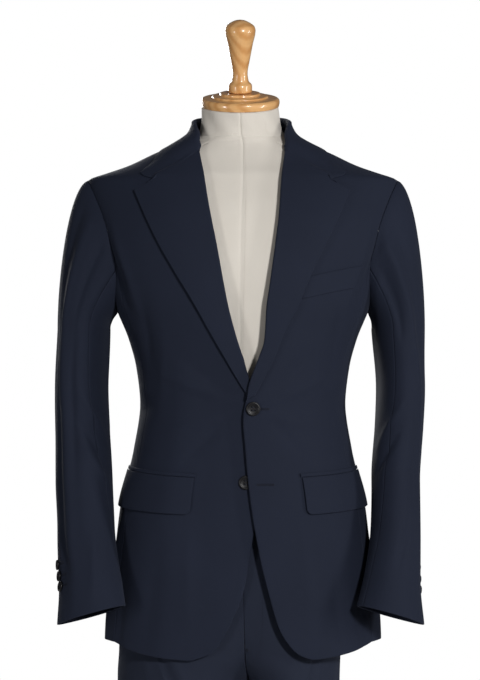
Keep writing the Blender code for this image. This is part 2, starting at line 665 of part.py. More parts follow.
def add_sleeve(side):
    """Upper and under sleeve, which meet in two seams along the arm."""
    level = np.concatenate([np.linspace(0.0, 1.0, 7), np.linspace(1.0, SLEEVE_END, 11)[1:]])[:, None]
    back, front = sleeve_seams(side, level)
    shift = np.degrees(0.5 * SEAM_GAP / 0.045)
    inside = (side * 0.222, 0.0, 1.15)
    across = np.concatenate([[0.0], np.linspace(0.03, 0.97, 9), [1.0]])[None, :]
    upper = (back + shift) + (front - back - 2 * shift) * across
    under = (front + shift) + (360.0 + back - front - 2 * shift) * across
    name = SIDE_NAMES[side]
    add_cloth("upper_sleeve_" + name, sleeve_point(side, upper, level), JACKET_WALL,
              "jacket_cloth", inside)
    add_cloth("under_sleeve_" + name, sleeve_point(side, under, level), JACKET_WALL,
              "jacket_cloth", inside)


def add_flap(side):
    """Hip pocket flap with a rounded front corner, and the jetting above it."""
    across = np.linspace(0.0, 1.0, 9)[None, :]
    down = np.linspace(0.0, 1.0, 4)[:, None]
    angle = FLAP_START[side] + (FLAP_END - FLAP_START[side]) * across
    rise_outwards = FLAP_SLOPE * across
    corner = 0.010 * np.exp(-across / 0.035)
    height = FLAP_TOP + rise_outwards - (FLAP_DROP - corner) * (1.0 - down)
    lift = 0.0030 + 0.0012 * (1.0 - down) + 0 * across
    points = front_point(side, side * angle + 0 * height, height, lift)
    name = SIDE_NAMES[side]
    add_cloth("flap_" + name, points, TRIM_WALL, "jacket_cloth", (0, 0, 1.05))
    rise = np.linspace(0.0, 1.0, 2)[:, None]
    jet_angle = FLAP_START[side] - 0.8 + (FLAP_END - FLAP_START[side]) * across
    jet_height = FLAP_TOP + rise_outwards + 0.0008 + JET_HEIGHT * rise
    jet = front_point(side, side * jet_angle + 0 * jet_height, jet_height,
                      np.full(jet_height.shape, TRIM_WALL + TRIM_SEAT))
    add_cloth("jet_" + name, jet, TRIM_WALL, "jacket_cloth", (0, 0, 1.05))


def add_breast_welt():
    """Slanted welt of the breast pocket on the left front."""
    across = np.linspace(0.0, 1.0, 7)[None, :]
    rise = np.linspace(0.0, 1.0, 3)[:, None]
    x = WELT_START + WELT_WIDTH * across + WELT_LEAN * rise
    height = WELT_BOTTOM + WELT_SLOPE * across + WELT_HEIGHT * rise
    points = front_point(LEFT, angle_at(x, height), height, np.full(height.shape, TRIM_WALL + TRIM_SEAT))
    add_cloth("breast_welt", points, TRIM_WALL, "jacket_cloth", (0, 0, 1.3))


def add_turned(name, profile, look, steps):
    """Solid of revolution: a profile of (radius, height) points, top to bottom, spun about Z."""
    vertices = [(radius, 0.0, height) for radius, height in profile]
    mesh = bpy.data.meshes.new(name)
    mesh.from_pydata(vertices, [(i, i + 1) for i in range(len(vertices) - 1)], [])
    mesh.materials.append(make_material(name, look))
    made = bpy.data.objects.new(name, mesh)
    bpy.data.collections[COLLECTION_NAME].objects.link(made)
    spin = made.modifiers.new("spin", "SCREW")
    spin.axis = "Z"
    spin.angle = 2.0 * math.pi
    spin.steps = steps
    spin.render_steps = steps
    spin.use_merge_vertices = True
    spin.merge_threshold = 0.00001
    spin.use_smooth_shade = True
    return made


def button_profile(radius, thickness):
    """Button with a raised round rim and a shallow dish."""
    return [
        (0.0, 0.80 * thickness),
        (0.55 * radius, 0.80 * thickness),
        (0.72 * radius, thickness),
        (0.93 * radius, 0.93 * thickness),
        (radius, 0.50 * thickness),
        (0.86 * radius, 0.0),
        (0.0, 0.0),
    ]


def place_facing(made, seat, normal):
    """Set a turned piece on a seat, with its axis along the outward normal."""
    made.location = seat
    made.rotation_mode = "QUATERNION"
    made.rotation_quaternion = Vector(normal).to_track_quat("Z", "Y")


def add_front_button(name, side, place):
    """Front button on the outer side of one front."""
    x, height = place
    angle = angle_at(x, height)
    seat = front_point(side, angle, height, BUTTON_SEAT)
    made = add_turned(name, button_profile(FRONT_BUTTON_RADIUS, FRONT_BUTTON_THICKNESS), "horn_button", 16)
    place_facing(made, seat, jacket_normal(angle, np.asarray(height)))


def add_cuff_buttons(side):
    """Three touching buttons on the upper sleeve, beside its back seam above the cuff."""
    profile = button_profile(CUFF_BUTTON_RADIUS, CUFF_BUTTON_THICKNESS)
    for index, level in enumerate(CUFF_BUTTON_LEVELS):
        back, _ = sleeve_seams(side, level)
        turn = back + CUFF_BUTTON_TURN
        point = sleeve_point(side, turn, level)
        around = sleeve_point(side, turn + 2.0, level) - sleeve_point(side, turn - 2.0, level)
        along = sleeve_point(side, turn, level + 0.05) - sleeve_point(side, turn, level - 0.05)
        normal = np.cross(around, along) * side
        normal = normal / np.linalg.norm(normal)
        if normal[0] * side < 0:
            normal = -normal
        name = "cuff_button_%s_%d" % (SIDE_NAMES[side], index + 1)
        made = add_turned(name, profile, "horn_button", 10)
        place_facing(made, point + normal * CUFF_BUTTON_LIFT[side], normal)


def trouser_point(side, front, share, height):
    """Point of a trouser panel: share 0 is the side seam, 1 the centre seam or the inseam. A ring
    spans a quarter turn at the hip and half a turn round a leg, about the centre that this gives."""
    outer = side * TROUSER.at(SIDE_NAMES[side] + "_outer", height)
    wrap = np.radians(TROUSER.at("wrap", height))
    ending = np.cos(wrap)
    centre = (inner_edge(side, height) - outer * ending) / (1.0 - ending)
    turn = wrap * share
    x = centre + (outer - centre) * np.cos(turn)
    depth = TROUSER.at("front_depth", height) if front else -TROUSER.at("back_depth", height)
    y = -depth * np.sin(turn)
    return np.stack(np.broadcast_arrays(x, y, height), axis=-1)


def inner_edge(side, height):
    """Where a leg's inner edge runs: both legs' edges lie a seam gap from one line."""
    line = 0.5 * (TROUSER.at("left_inner", height) - TROUSER.at("right_inner", height))
    return line + side * 0.5 * SEAM_GAP + side * leg_parting(height)


def leg_parting(height):
    """Half the gap between the two legs below the fork."""
    return 0.0065 * np.clip((FORK_HEIGHT - np.asarray(height)) / 0.7, 0.0, 1.0)


def add_trouser_panels(side):
    """Front and back panel of one leg, from the waist seam to the hem."""
    height = np.array([TROUSER_HEM, 0.20, 0.36, 0.50, 0.62, 0.70, 0.765, 0.785, 0.805, 0.825,
                       0.85, 0.89, 0.93, 0.985, WAIST_SEAM])[:, None]
    for front in (True, False):
        share = SIDE_SEAM_SHARE + (1.0 - SIDE_SEAM_SHARE) * np.linspace(0.0, 1.0, 10)[None, :]
        in_leg = np.clip((FORK_HEIGHT + 0.02 - height) / 0.02, 0.0, 1.0)
        share = share * (1.0 - CROTCH_SHARE * in_leg)
        points = trouser_point(side, front, share, height)
        name = "trouser_%s_%s" % ("front" if front else "back", SIDE_NAMES[side])
        add_cloth(name, points, TROUSER_WALL, "trouser_cloth", (side * 0.075, 0.0, 0.6))


def add_waistband():
    """Closed band above the trouser panels, on the form's waist."""
    angle = np.linspace(0.5, 359.5, 33)[None, :]
    height = np.array([WAISTBAND_TOP - WAISTBAND_HEIGHT + SEAM_GAP, WAISTBAND_TOP])[:, None]
    points = ring_point(0.0, angle + 0 * height, height + 0 * angle, WAIST_HALF_WIDTH,
                        WAIST_FRONT, WAIST_BACK, 2.0)
    add_cloth("waistband", points, TROUSER_WALL, "trouser_cloth", (0, 0, 1.05))


def add_form():
    """Smooth closed torso and neck of the dress form, lofted through its rings."""
    level = np.concatenate([np.arange(0, 12), np.linspace(12, 19, 13)])[:, None]
    angle = np.linspace(0.0, 360.0, 29)[None, :-1]
    height = FORM.at("height", level)
    points = ring_point(0.0, angle + 0 * level, height + 0 * angle, FORM.at("half_width", level),
                        FORM.at("front_depth", level), FORM.at("back_depth", level),
                        FORM.at("squareness", level))
    points[..., 0] += FORM.at("shift", level)
    points[..., 2] += FORM.at("lean", level) * points[..., 1]
    rows, columns = points.shape[:2]
    faces = grid_faces(rows, columns, wrap=True)
    faces.append(tuple(range(columns - 1, -1, -1)))
    faces.append(tuple((rows - 1) * columns + i for i in range(columns)))
    add_mesh("form_torso", points.reshape(-1, 3), faces, "form_linen")


CAP_PROFILE = [
    (0.0000, 0.0120),
    (0.0290, 0.0120),
    (0.0290, 0.0090),
    (0.0400, 0.0080),
    (0.0405, 0.0055),
    (0.0540, 0.0045),
    (0.0568, 0.0020),
    (0.0572, -0.0020),
    (0.0560, -0.0075),
    (0.0000, -0.0075),
]

KNOB_PROFILE = [
    (0.0000, 0.1168),
    (0.0070, 0.1158),
    (0.0130, 0.1130),
    (0.0205, 0.1080),
    (0.0225, 0.1020),
    (0.0215, 0.0940),
    (0.0187, 0.0840),
    (0.0159, 0.0690),
    (0.0130, 0.0540),
    (0.0113, 0.0460),
    (0.0108, 0.0380),
    (0.0125, 0.0280),
    (0.0172, 0.0245),
    (0.0175, 0.0150),
    (0.0165, 0.0123),
    (0.0000, 0.0123),
]

BASE_PROFILE = [
    (0.0000, HUB_TOP),
    (0.0150, HUB_TOP),
    (0.0180, HUB_TOP - 0.0030),
    (0.0200, BASE_THICKNESS + 0.0060),
    (0.0260, BASE_THICKNESS),
    (BASE_RADIUS - 0.0040, BASE_THICKNESS),
    (BASE_RADIUS - 0.0010, BASE_THICKNESS - 0.0020),
    (BASE_RADIUS, BASE_THICKNESS - 0.0050),
    (BASE_RADIUS, 0.0),
    (0.0000, 0.0),
]


def add_stand():
    """Wooden cap and knob on the neck, and the pole and round base under the torso."""
    for name, profile in (("neck_cap", CAP_PROFILE), ("knob", KNOB_PROFILE)):
        made = add_turned(name, profile, "varnished_wood", 20)
        made.location = CAP_CENTRE
        made.rotation_euler = (CAP_TILT, 0.0, 0.0)
    add_turned("base", BASE_PROFILE, "brushed_steel", 32)
    pole_low = HUB_TOP + PART_GAP
    pole_high = FORM_BOTTOM - PART_GAP
    bpy.ops.mesh.primitive_cylinder_add(vertices=20, radius=POLE_RADIUS, depth=pole_high - pole_low,
                                        location=(0.0, 0.0, 0.5 * (pole_low + pole_high)))
    pole = bpy.context.object
    pole.name = "pole"
    for other in list(pole.users_collection):
        other.objects.unlink(pole)
    bpy.data.collections[COLLECTION_NAME].objects.link(pole)
    pole.data.materials.append(make_material("pole", "brushed_steel"))
    pole.data.shade_smooth()
    pole.data.set_sharp_from_angle(angle=math.radians(40))


def build():
    """Make every piece of the suit and of the dress form."""
    clear_scene()
    suit = bpy.data.collections.new(COLLECTION_NAME)
    bpy.context.scene.collection.children.link(suit)
    for side in (LEFT, RIGHT):
        add_front(side)
        add_side(side)
        add_back(side)
        add_lapel(side)
        add_sleeve(side)
        add_flap(side)
        add_cuff_buttons(side)
        add_trouser_panels(side)
    add_collar()
    add_breast_welt()
    add_front_button("front_button_upper", LEFT, UPPER_BUTTON)
    add_front_button("front_button_lower", RIGHT, LOWER_BUTTON)
    add_waistband()
    add_form()
    add_stand()


build()
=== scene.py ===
# %% [markdown]
# # A suit on a dress form
#
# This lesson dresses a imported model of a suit, jacket and trousers, that hangs on a limbless dress
# form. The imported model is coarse: it settles where every piece is. Here each cut piece of cloth is
# made again as a fine, thin wall, from the same tables of sizes, and gets its creases, its edges, its
# thread and its finish. The wearer's left is +X, the front faces -Y, and all sizes are in metres.

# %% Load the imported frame
import math

import bpy
import numpy as np
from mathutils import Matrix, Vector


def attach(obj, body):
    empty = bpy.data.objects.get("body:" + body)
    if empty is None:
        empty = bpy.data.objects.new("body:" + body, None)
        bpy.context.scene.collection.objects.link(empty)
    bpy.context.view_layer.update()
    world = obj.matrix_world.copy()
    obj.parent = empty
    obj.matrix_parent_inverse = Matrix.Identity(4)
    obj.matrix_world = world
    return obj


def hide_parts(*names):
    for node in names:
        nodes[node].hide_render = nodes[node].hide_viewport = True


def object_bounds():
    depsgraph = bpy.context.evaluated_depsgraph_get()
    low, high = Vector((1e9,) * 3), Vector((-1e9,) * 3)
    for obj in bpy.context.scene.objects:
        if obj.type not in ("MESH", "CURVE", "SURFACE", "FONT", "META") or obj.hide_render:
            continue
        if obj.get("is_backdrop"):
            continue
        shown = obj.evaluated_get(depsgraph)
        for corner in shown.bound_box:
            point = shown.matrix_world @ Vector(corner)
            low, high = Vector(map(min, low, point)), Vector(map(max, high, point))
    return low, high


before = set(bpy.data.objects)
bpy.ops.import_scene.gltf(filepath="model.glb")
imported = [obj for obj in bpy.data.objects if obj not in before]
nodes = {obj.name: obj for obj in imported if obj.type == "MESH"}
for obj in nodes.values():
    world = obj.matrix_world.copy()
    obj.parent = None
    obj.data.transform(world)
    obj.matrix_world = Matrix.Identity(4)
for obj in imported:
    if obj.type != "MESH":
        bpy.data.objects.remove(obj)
cad_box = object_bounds()
print("packed nodes:", len(nodes), "box:", [[round(v, 3) for v in corner] for corner in cad_box])

# %% [markdown]
# A tailor's pattern is a list of sizes at a few levels of the body. A table with named columns keeps
# them readable. Between two rows a plain cubic would overshoot and make bumps that no cloth has, so
# the curve's slope at a row is the harmonic mean of the slopes beside it.

# %% Tables of sizes
def smooth_between(keys, values, at):
    """Curve through the keyed values: cubic pieces whose slope is the harmonic mean of the slopes
    on both sides of a key, and zero where they change sign, so it never overshoots."""
    step = np.diff(keys)
    slope = np.diff(values) / step
    tangent = np.empty_like(values)
    tangent[0] = slope[0]
    tangent[-1] = slope[-1]
    before = slope[:-1]
    after = slope[1:]
    same_way = before * after > 0
    total = np.where(same_way, before + after, 1.0)
    tangent[1:-1] = np.where(same_way, 2.0 * before * after / total, 0.0)
    at = np.clip(at, keys[0], keys[-1])
    left = np.clip(np.searchsorted(keys, at) - 1, 0, len(step) - 1)
    t = (at - keys[left]) / step[left]
    start = values[left] * (1 + 2 * t) * (1 - t) ** 2
    end = values[left + 1] * t ** 2 * (3 - 2 * t)
    bend = step[left] * (tangent[left] * t * (1 - t) ** 2 - tangent[left + 1] * t ** 2 * (1 - t))
    return start + end + bend


class Table:
    """Rows of numbers under named columns. A table that is read between its rows has its key in the
    first column, and the key grows from row to row."""

    def __init__(self, columns, rows):
        values = np.array(rows, dtype=float)
        self.names = columns.split()
        self.keys = values[:, 0]
        self.values = {name: values[:, index] for index, name in enumerate(self.names)}

    def at(self, name, key):
        """The named column where the first column has the given value, by smooth_between."""
        return smooth_between(self.keys, self.values[name], np.asarray(key, dtype=float))


# %% [markdown]
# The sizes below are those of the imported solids: level rings of the jacket, the edges of its fronts,
# the lapels, the collar, the sleeves, the trousers and the form under them. A run goes up a panel's
# outline: up its side seam to 1, round the armhole to 2 and along the shoulder seam to 3.

# %% Sizes of the jacket
LEFT = 1
RIGHT = -1
SIDE_NAMES = {LEFT: "left", RIGHT: "right"}
JACKET_WALL = 0.0022
COLLAR_WALL = 0.0018
LAPEL_WALL = 0.0016
TRIM_WALL = 0.0014
TROUSER_WALL = 0.0020
SEAM_GAP = 0.0007
ARMHOLE_SHOWN = 0.0003
JACKET_AXIS = 0.0040
FRONT_SEAM_ANGLE = 66.0
BACK_SEAM_ANGLE = 120.0
SIDE_HEM = 0.8440
NECK_POINT = 1.5585
ARMHOLE_TOP = 1.4995
ARMHOLE_BOTTOM = 1.3100
ARMHOLE_SWING = 26.0
VENT_TOP = 1.040
VENT_SPREAD = 0.5
BUTTON_UNDERLAP = 0.0074
NECKLINE_INSET = 0.0040
FRONT_BUTTON_RADIUS = 0.0100
FRONT_BUTTON_THICKNESS = 0.0034
CUFF_BUTTON_RADIUS = 0.0074
CUFF_BUTTON_THICKNESS = 0.0028
CUFF_BUTTON_LEVELS = (6.10, 5.86, 5.62)
CUFF_BUTTON_TURN = 17.0
BUTTON_SEAT = 0.0003
CUFF_BUTTON_LIFT = {LEFT: 0.0001, RIGHT: 0.0005}
UPPER_BUTTON = (0.0180, 1.1750)
LOWER_BUTTON = (0.0080, 1.0730)
FLAP_TOP = 1.0792
FLAP_DROP = 0.0510
FLAP_START = {LEFT: 26.3, RIGHT: 21.2}
FLAP_END = 83.0
FLAP_SLOPE = 0.0060
JET_HEIGHT = 0.0050
WELT_START = 0.0850
WELT_WIDTH = 0.0720
WELT_LEAN = 0.0120
WELT_BOTTOM = 1.3270
WELT_SLOPE = 0.0160
WELT_HEIGHT = 0.0310
WAISTBAND_TOP = 1.0750
WAISTBAND_HEIGHT = 0.0350
FORK_HEIGHT = 0.7650
TROUSER_HEM = 0.0450
SIDE_SEAM_SHARE = 0.0022
CROTCH_SHARE = 0.0026
WAIST_SEAM = 1.0397
CAP_CENTRE = (0.0, 0.0, 1.6140)
CAP_TILT = math.radians(15.5)
POLE_RADIUS = 0.0095
BASE_RADIUS = 0.1900
BASE_THICKNESS = 0.0100
HUB_TOP = 0.0420
FORM_BOTTOM = 0.8400
PART_GAP = 0.0003
TRIM_SEAT = 0.0009
ROLL_RUN = 0.675

# Level rings of the jacket's outer side: a ring's front and back halves are superellipses.
JACKET = Table("height half_width front_depth back_depth squareness", [
    (0.8200, 0.1990, 0.1280, 0.1410, 2.30),
    (0.8800, 0.1940, 0.1270, 0.1370, 2.30),
    (0.9850, 0.1817, 0.1270, 0.1290, 2.35),
    (1.0400, 0.1746, 0.1260, 0.1220, 2.35),
    (1.1120, 0.1570, 0.1245, 0.1130, 2.30),
    (1.1810, 0.1476, 0.1255, 0.1080, 2.25),
    (1.2300, 0.1530, 0.1280, 0.1110, 2.25),
    (1.2700, 0.1635, 0.1300, 0.1150, 2.30),
    (1.3220, 0.1840, 0.1310, 0.1190, 2.40),
    (1.3600, 0.1930, 0.1290, 0.1210, 2.40),
    (1.4000, 0.2050, 0.1230, 0.1210, 2.40),
    (1.4360, 0.2120, 0.1140, 0.1180, 2.35),
    (1.4680, 0.2185, 0.1010, 0.1110, 2.25),
    (1.4995, 0.2220, 0.0840, 0.0990, 2.20),
    (1.5037, 0.2130, 0.0810, 0.0965, 2.18),
    (1.5085, 0.1980, 0.0780, 0.0940, 2.16),
    (1.5204, 0.1640, 0.0700, 0.0870, 2.12),
    (1.5384, 0.1260, 0.0610, 0.0790, 2.10),
    (1.5465, 0.1065, 0.0575, 0.0750, 2.10),
    (1.5535, 0.0905, 0.0545, 0.0715, 2.10),
    (1.5600, 0.0785, 0.0525, 0.0690, 2.10),
    (1.5680, 0.0705, 0.0510, 0.0665, 2.10),
    (1.5800, 0.0645, 0.0500, 0.0640, 2.10),
    (1.6100, 0.0620, 0.0490, 0.0620, 2.10),
])

# Edge of each front from the lowest point of its rounded corner up to the gorge, keyed by the run of
# the outline that the same row of cloth meets: side seam to 1, armhole to 2, shoulder seam to 3.
FRONT_EDGE = {
    LEFT: Table("run edge_x edge_height", [
        (0.000, 0.1010, 0.8273),
        (0.025, 0.0832, 0.8339),
        (0.062, 0.0655, 0.8517),
        (0.105, 0.0539, 0.8728),
        (0.180, 0.0403, 0.9180),
        (0.265, 0.0282, 0.9675),
        (0.410, 0.0135, 1.0550),
        (0.523, 0.0073, 1.1200),
        (0.610, 0.0044, 1.1600),
        (0.675, 0.0090, 1.1880),
        (0.725, 0.0139, 1.2095),
        (0.815, 0.0340, 1.2660),
        (0.915, 0.0384, 1.3170),
        (1.000, 0.0421, 1.3436),
        (1.400, 0.0511, 1.4057),
        (1.700, 0.0556, 1.4417),
        (2.000, 0.0597, 1.4968),
        (2.450, 0.0628, 1.5260),
        (3.000, 0.0640, 1.5400),
    ]),
    RIGHT: Table("run edge_x edge_height", [
        (0.000, 0.0680, 0.8259),
        (0.025, 0.0419, 0.8361),
        (0.062, 0.0292, 0.8497),
        (0.105, 0.0187, 0.8675),
        (0.180, -0.0040, 0.9190),
        (0.265, -0.0130, 0.9675),
        (0.410, -0.0260, 1.0550),
        (0.523, -0.0310, 1.1200),
        (0.610, -0.0330, 1.1600),
        (0.675, -0.0290, 1.1880),
        (0.725, -0.0139, 1.2095),
        (0.815, 0.0043, 1.2620),
        (0.915, 0.0184, 1.3170),
        (1.000, 0.0250, 1.3510),
        (1.400, 0.0360, 1.4100),
        (1.700, 0.0430, 1.4450),
        (2.000, 0.0522, 1.4960),
        (2.450, 0.0560, 1.5260),
        (3.000, 0.0580, 1.5400),
    ]),
}

# Middle of the back from the hem to the neck, by the same run.
BACK_MIDDLE = Table("run middle_height", [
    (0.00, 0.8400),
    (0.37, 1.0400),
    (0.66, 1.1900),
    (0.79, 1.2500),
    (1.00, 1.3400),
    (1.35, 1.3850),
    (1.70, 1.4350),
    (2.00, 1.4900),
    (2.35, 1.5180),
    (3.00, 1.5590),
])

# %% Sizes of the lapels and the collar
# Lapel: its roll line follows the front's edge, and its outer edge ends in the tip and the notch.
LAPEL_COLUMNS = "station roll_x roll_height outer_x outer_height"
LAPEL = {
    LEFT: Table(LAPEL_COLUMNS, [
        (0, 0.0090, 1.1880, 0.0200, 1.1940),
        (1, 0.0139, 1.2095, 0.0330, 1.2180),
        (2, 0.0270, 1.2450, 0.0474, 1.2480),
        (3, 0.0350, 1.2700, 0.0580, 1.2760),
        (4, 0.0384, 1.3170, 0.0832, 1.3260),
        (5, 0.0421, 1.3436, 0.0990, 1.3645),
        (6, 0.0511, 1.4057, 0.1200, 1.4075),
        (7, 0.0556, 1.4417, 0.1380, 1.4440),
        (8, 0.0590, 1.4850, 0.1529, 1.4792),
        (9, 0.0630, 1.5360, 0.1260, 1.4930),
    ]),
    RIGHT: Table(LAPEL_COLUMNS, [
        (0, -0.0205, 1.1990, -0.0095, 1.1945),
        (1, -0.0139, 1.2095, 0.0010, 1.2110),
        (2, -0.0019, 1.2450, 0.0161, 1.2364),
        (3, 0.0060, 1.2700, 0.0319, 1.2648),
        (4, 0.0184, 1.3170, 0.0605, 1.3170),
        (5, 0.0240, 1.3460, 0.0892, 1.3645),
        (6, 0.0350, 1.4050, 0.1120, 1.4040),
        (7, 0.0425, 1.4420, 0.1310, 1.4420),
        (8, 0.0500, 1.4850, 0.1473, 1.4792),
        (9, 0.0570, 1.5360, 0.1187, 1.4940),
    ]),
}

# Collar from the middle of the back to the gorge: fold line, foot of the stand, edge of the fall.
COLLAR = Table("station fold_angle fold_height foot_angle foot_height edge_angle edge_height", [
    (0, 180, 1.5970, 180, 1.5600, 180, 1.5410),
    (1, 135, 1.5950, 135, 1.5605, 136, 1.5390),
    (2, 90, 1.5860, 90, 1.5620, 90, 1.5480),
    (3, 59, 1.5700, 61, 1.5580, 54, 1.5250),
    (4, 41, 1.5550, 46, 1.5500, 41, 1.5070),
    (5, 30, 1.5440, 35, 1.5445, 33, 1.4970),
])

# %% Sizes of the sleeves
# Rings of a hanging sleeve below the armhole: the tilts are the rise outwards and forwards.
SLEEVE = Table("level height out forward half_width half_depth tilt_out tilt_forward back_seam front_seam", [
    (1, 1.2850, 0.2225, 0.0000, 0.0385, 0.0730, 0.00, 0.00, -72, 112),
    (2, 1.2150, 0.2250, -0.0020, 0.0400, 0.0690, 0.00, 0.05, -68, 116),
    (3, 1.1400, 0.2268, 0.0000, 0.0402, 0.0640, -0.02, 0.12, -60, 122),
    (4, 1.0700, 0.2262, 0.0200, 0.0402, 0.0580, -0.06, 0.22, -44, 138),
    (5, 1.0000, 0.2240, 0.0480, 0.0412, 0.0510, -0.12, 0.30, -20, 158),
    (6, 0.9350, 0.2160, 0.0800, 0.0440, 0.0440, -0.20, 0.29, 8, 182),
    (7, 0.8880, 0.2070, 0.1060, 0.0475, 0.0400, -0.28, 0.19, 20, 192),
])

# Each sleeve hangs in its own way: how far its rings move outwards, and how much wider they get.
SLEEVE_HANG = {
    LEFT: Table("level shift wider", [
        (1, 0.0049, -0.0007),
        (2, 0.0060, -0.0055),
        (3, 0.0002, -0.0049),
        (4, -0.0056, -0.0056),
        (5, -0.0056, -0.0058),
        (6, -0.0043, -0.0046),
        (7, 0.0000, -0.0005),
    ]),
    RIGHT: Table("level shift wider", [
        (1, 0.0055, -0.0018),
        (2, 0.0068, -0.0030),
        (3, 0.0022, -0.0008),
        (4, -0.0012, 0.0006),
        (5, -0.0040, -0.0006),
        (6, -0.0035, -0.0007),
        (7, 0.0015, 0.0000),
    ]),
}

# %% Sizes of the trousers
# Trouser rings. The outer edges differ a little, because the legs hang freely from the waist.
TROUSER = Table("height right_outer left_outer right_inner left_inner front_depth back_depth wrap", [
    (TROUSER_HEM, 0.1080, 0.1240, -0.0180, 0.0290, 0.0640, 0.0680, 180),
    (0.2500, 0.1110, 0.1240, -0.0170, 0.0270, 0.0690, 0.0730, 180),
    (0.4500, 0.1240, 0.1260, -0.0160, 0.0230, 0.0790, 0.0850, 180),
    (0.6200, 0.1520, 0.1340, -0.0155, 0.0195, 0.0920, 0.1000, 180),
    (0.7650, 0.1760, 0.1430, -0.0145, 0.0155, 0.1010, 0.1120, 176),
    (0.7900, 0.1760, 0.1435, -0.0115, 0.0125, 0.1030, 0.1150, 150),
    (0.8250, 0.1740, 0.1450, -0.0072, 0.0072, 0.1060, 0.1180, 118),
    (0.8700, 0.1730, 0.1490, -0.0060, 0.0060, 0.1090, 0.1210, 96),
    (0.9300, 0.1690, 0.1560, -0.0045, 0.0045, 0.1110, 0.1220, 90),
    (0.9900, 0.1570, 0.1520, -0.0030, 0.0030, 0.1100, 0.1150, 90),
    (WAIST_SEAM, 0.1430, 0.1430, -0.0015, 0.0015, 0.1085, 0.1065, 90),
])
WAIST_HALF_WIDTH = 0.1425
WAIST_FRONT = 0.1080
WAIST_BACK = 0.1060

# %% Sizes of the dress form
# Rings of the dress form: lean is the rise of the ring's plane towards the back, and shift moves the
# ring to the wearer's left.
FORM = Table("level height half_width front_depth back_depth squareness lean shift", [
    (0, 0.8400, 0.1310, 0.0960, 0.1040, 2.00, 0.0, 0.000),
    (1, 0.9200, 0.1390, 0.1000, 0.1080, 2.00, 0.0, 0.000),
    (2, 1.0000, 0.1393, 0.1030, 0.1040, 2.00, 0.0, 0.000),
    (3, 1.0400, 0.1396, 0.1050, 0.1030, 2.00, 0.0, 0.000),
    (4, 1.0750, 0.1396, 0.1050, 0.1030, 2.00, 0.0, 0.000),
    (5, 1.1250, 0.1340, 0.1020, 0.0980, 2.10, 0.0, 0.000),
    (6, 1.1800, 0.1320, 0.1030, 0.0960, 2.20, 0.0, 0.000),
    (7, 1.2500, 0.1420, 0.1120, 0.1000, 2.25, 0.0, 0.000),
    (8, 1.3200, 0.1630, 0.1190, 0.1070, 2.30, 0.0, 0.000),
    (9, 1.3800, 0.1750, 0.1180, 0.1100, 2.30, 0.0, 0.001),
    (10, 1.4300, 0.1860, 0.1090, 0.1080, 2.25, 0.0, 0.002),
    (11, 1.4700, 0.1960, 0.0940, 0.1010, 2.20, 0.0, 0.003),
    (12, 1.4960, 0.2030, 0.0790, 0.0900, 2.15, 0.0, 0.004),
    (13, 1.5050, 0.1950, 0.0750, 0.0850, 2.12, 0.0, 0.004),
    (14, 1.5170, 0.1625, 0.0670, 0.0800, 2.10, 0.0, 0.004),
    (15, 1.5350, 0.1245, 0.0570, 0.0710, 2.05, 0.0, 0.004),
    (16, 1.5500, 0.0885, 0.0515, 0.0650, 2.00, 0.04, 0.004),
    (17, 1.5600, 0.0665, 0.0510, 0.0600, 2.00, 0.10, 0.003),
    (18, 1.5750, 0.0575, 0.0515, 0.0570, 2.00, 0.18, 0.001),
    (19, 1.6058, 0.0550, 0.0535, 0.0550, 2.00, 0.277, 0.000),
])
print("tables read, waist half width", round(float(JACKET.at("half_width", 1.18)), 4))

# %% [markdown]
# Creases are placed one by one, as a presser sees them. Each is a soft ridge, or a hollow where its rise
# is negative, along a line from one place to another. The places are an angle round the piece and a
# height, because cloth hangs from above and its folds run mostly downwards. They differ in size and
# they are not mirrored, because no suit hangs evenly.

# %% Creases
CREASE_COLUMNS = "from_angle from_height to_angle to_height width rise"
JACKET_ARC = 0.0031
SLEEVE_ARC = 0.0010
LEG_ARC = 0.0014


def crease_rise(angle, height, arc, creases):
    """Sum of a table of creases: each is its own rise times exp(-(distance / width)^1.7), where the
    distance is measured to the crease's line, and it fades out towards both ends of the line. The
    arc is the length of one degree round the piece."""
    angle, height = np.broadcast_arrays(np.asarray(angle, float), np.asarray(height, float))
    total = np.zeros(angle.shape)
    for a0, h0, a1, h1, width, rise in zip(*creases.values.values()):
        along = np.array([(a1 - a0) * arc, h1 - h0])
        u = (angle - a0) * arc
        v = height - h0
        t = np.clip((u * along[0] + v * along[1]) / (along ** 2).sum(), 0.0, 1.0)
        distance = np.hypot(u - t * along[0], v - t * along[1])
        fade = 0.25 + 0.75 * np.sin(math.pi * t)
        total += rise * fade * np.exp(-(distance / width) ** 1.7)
    return total


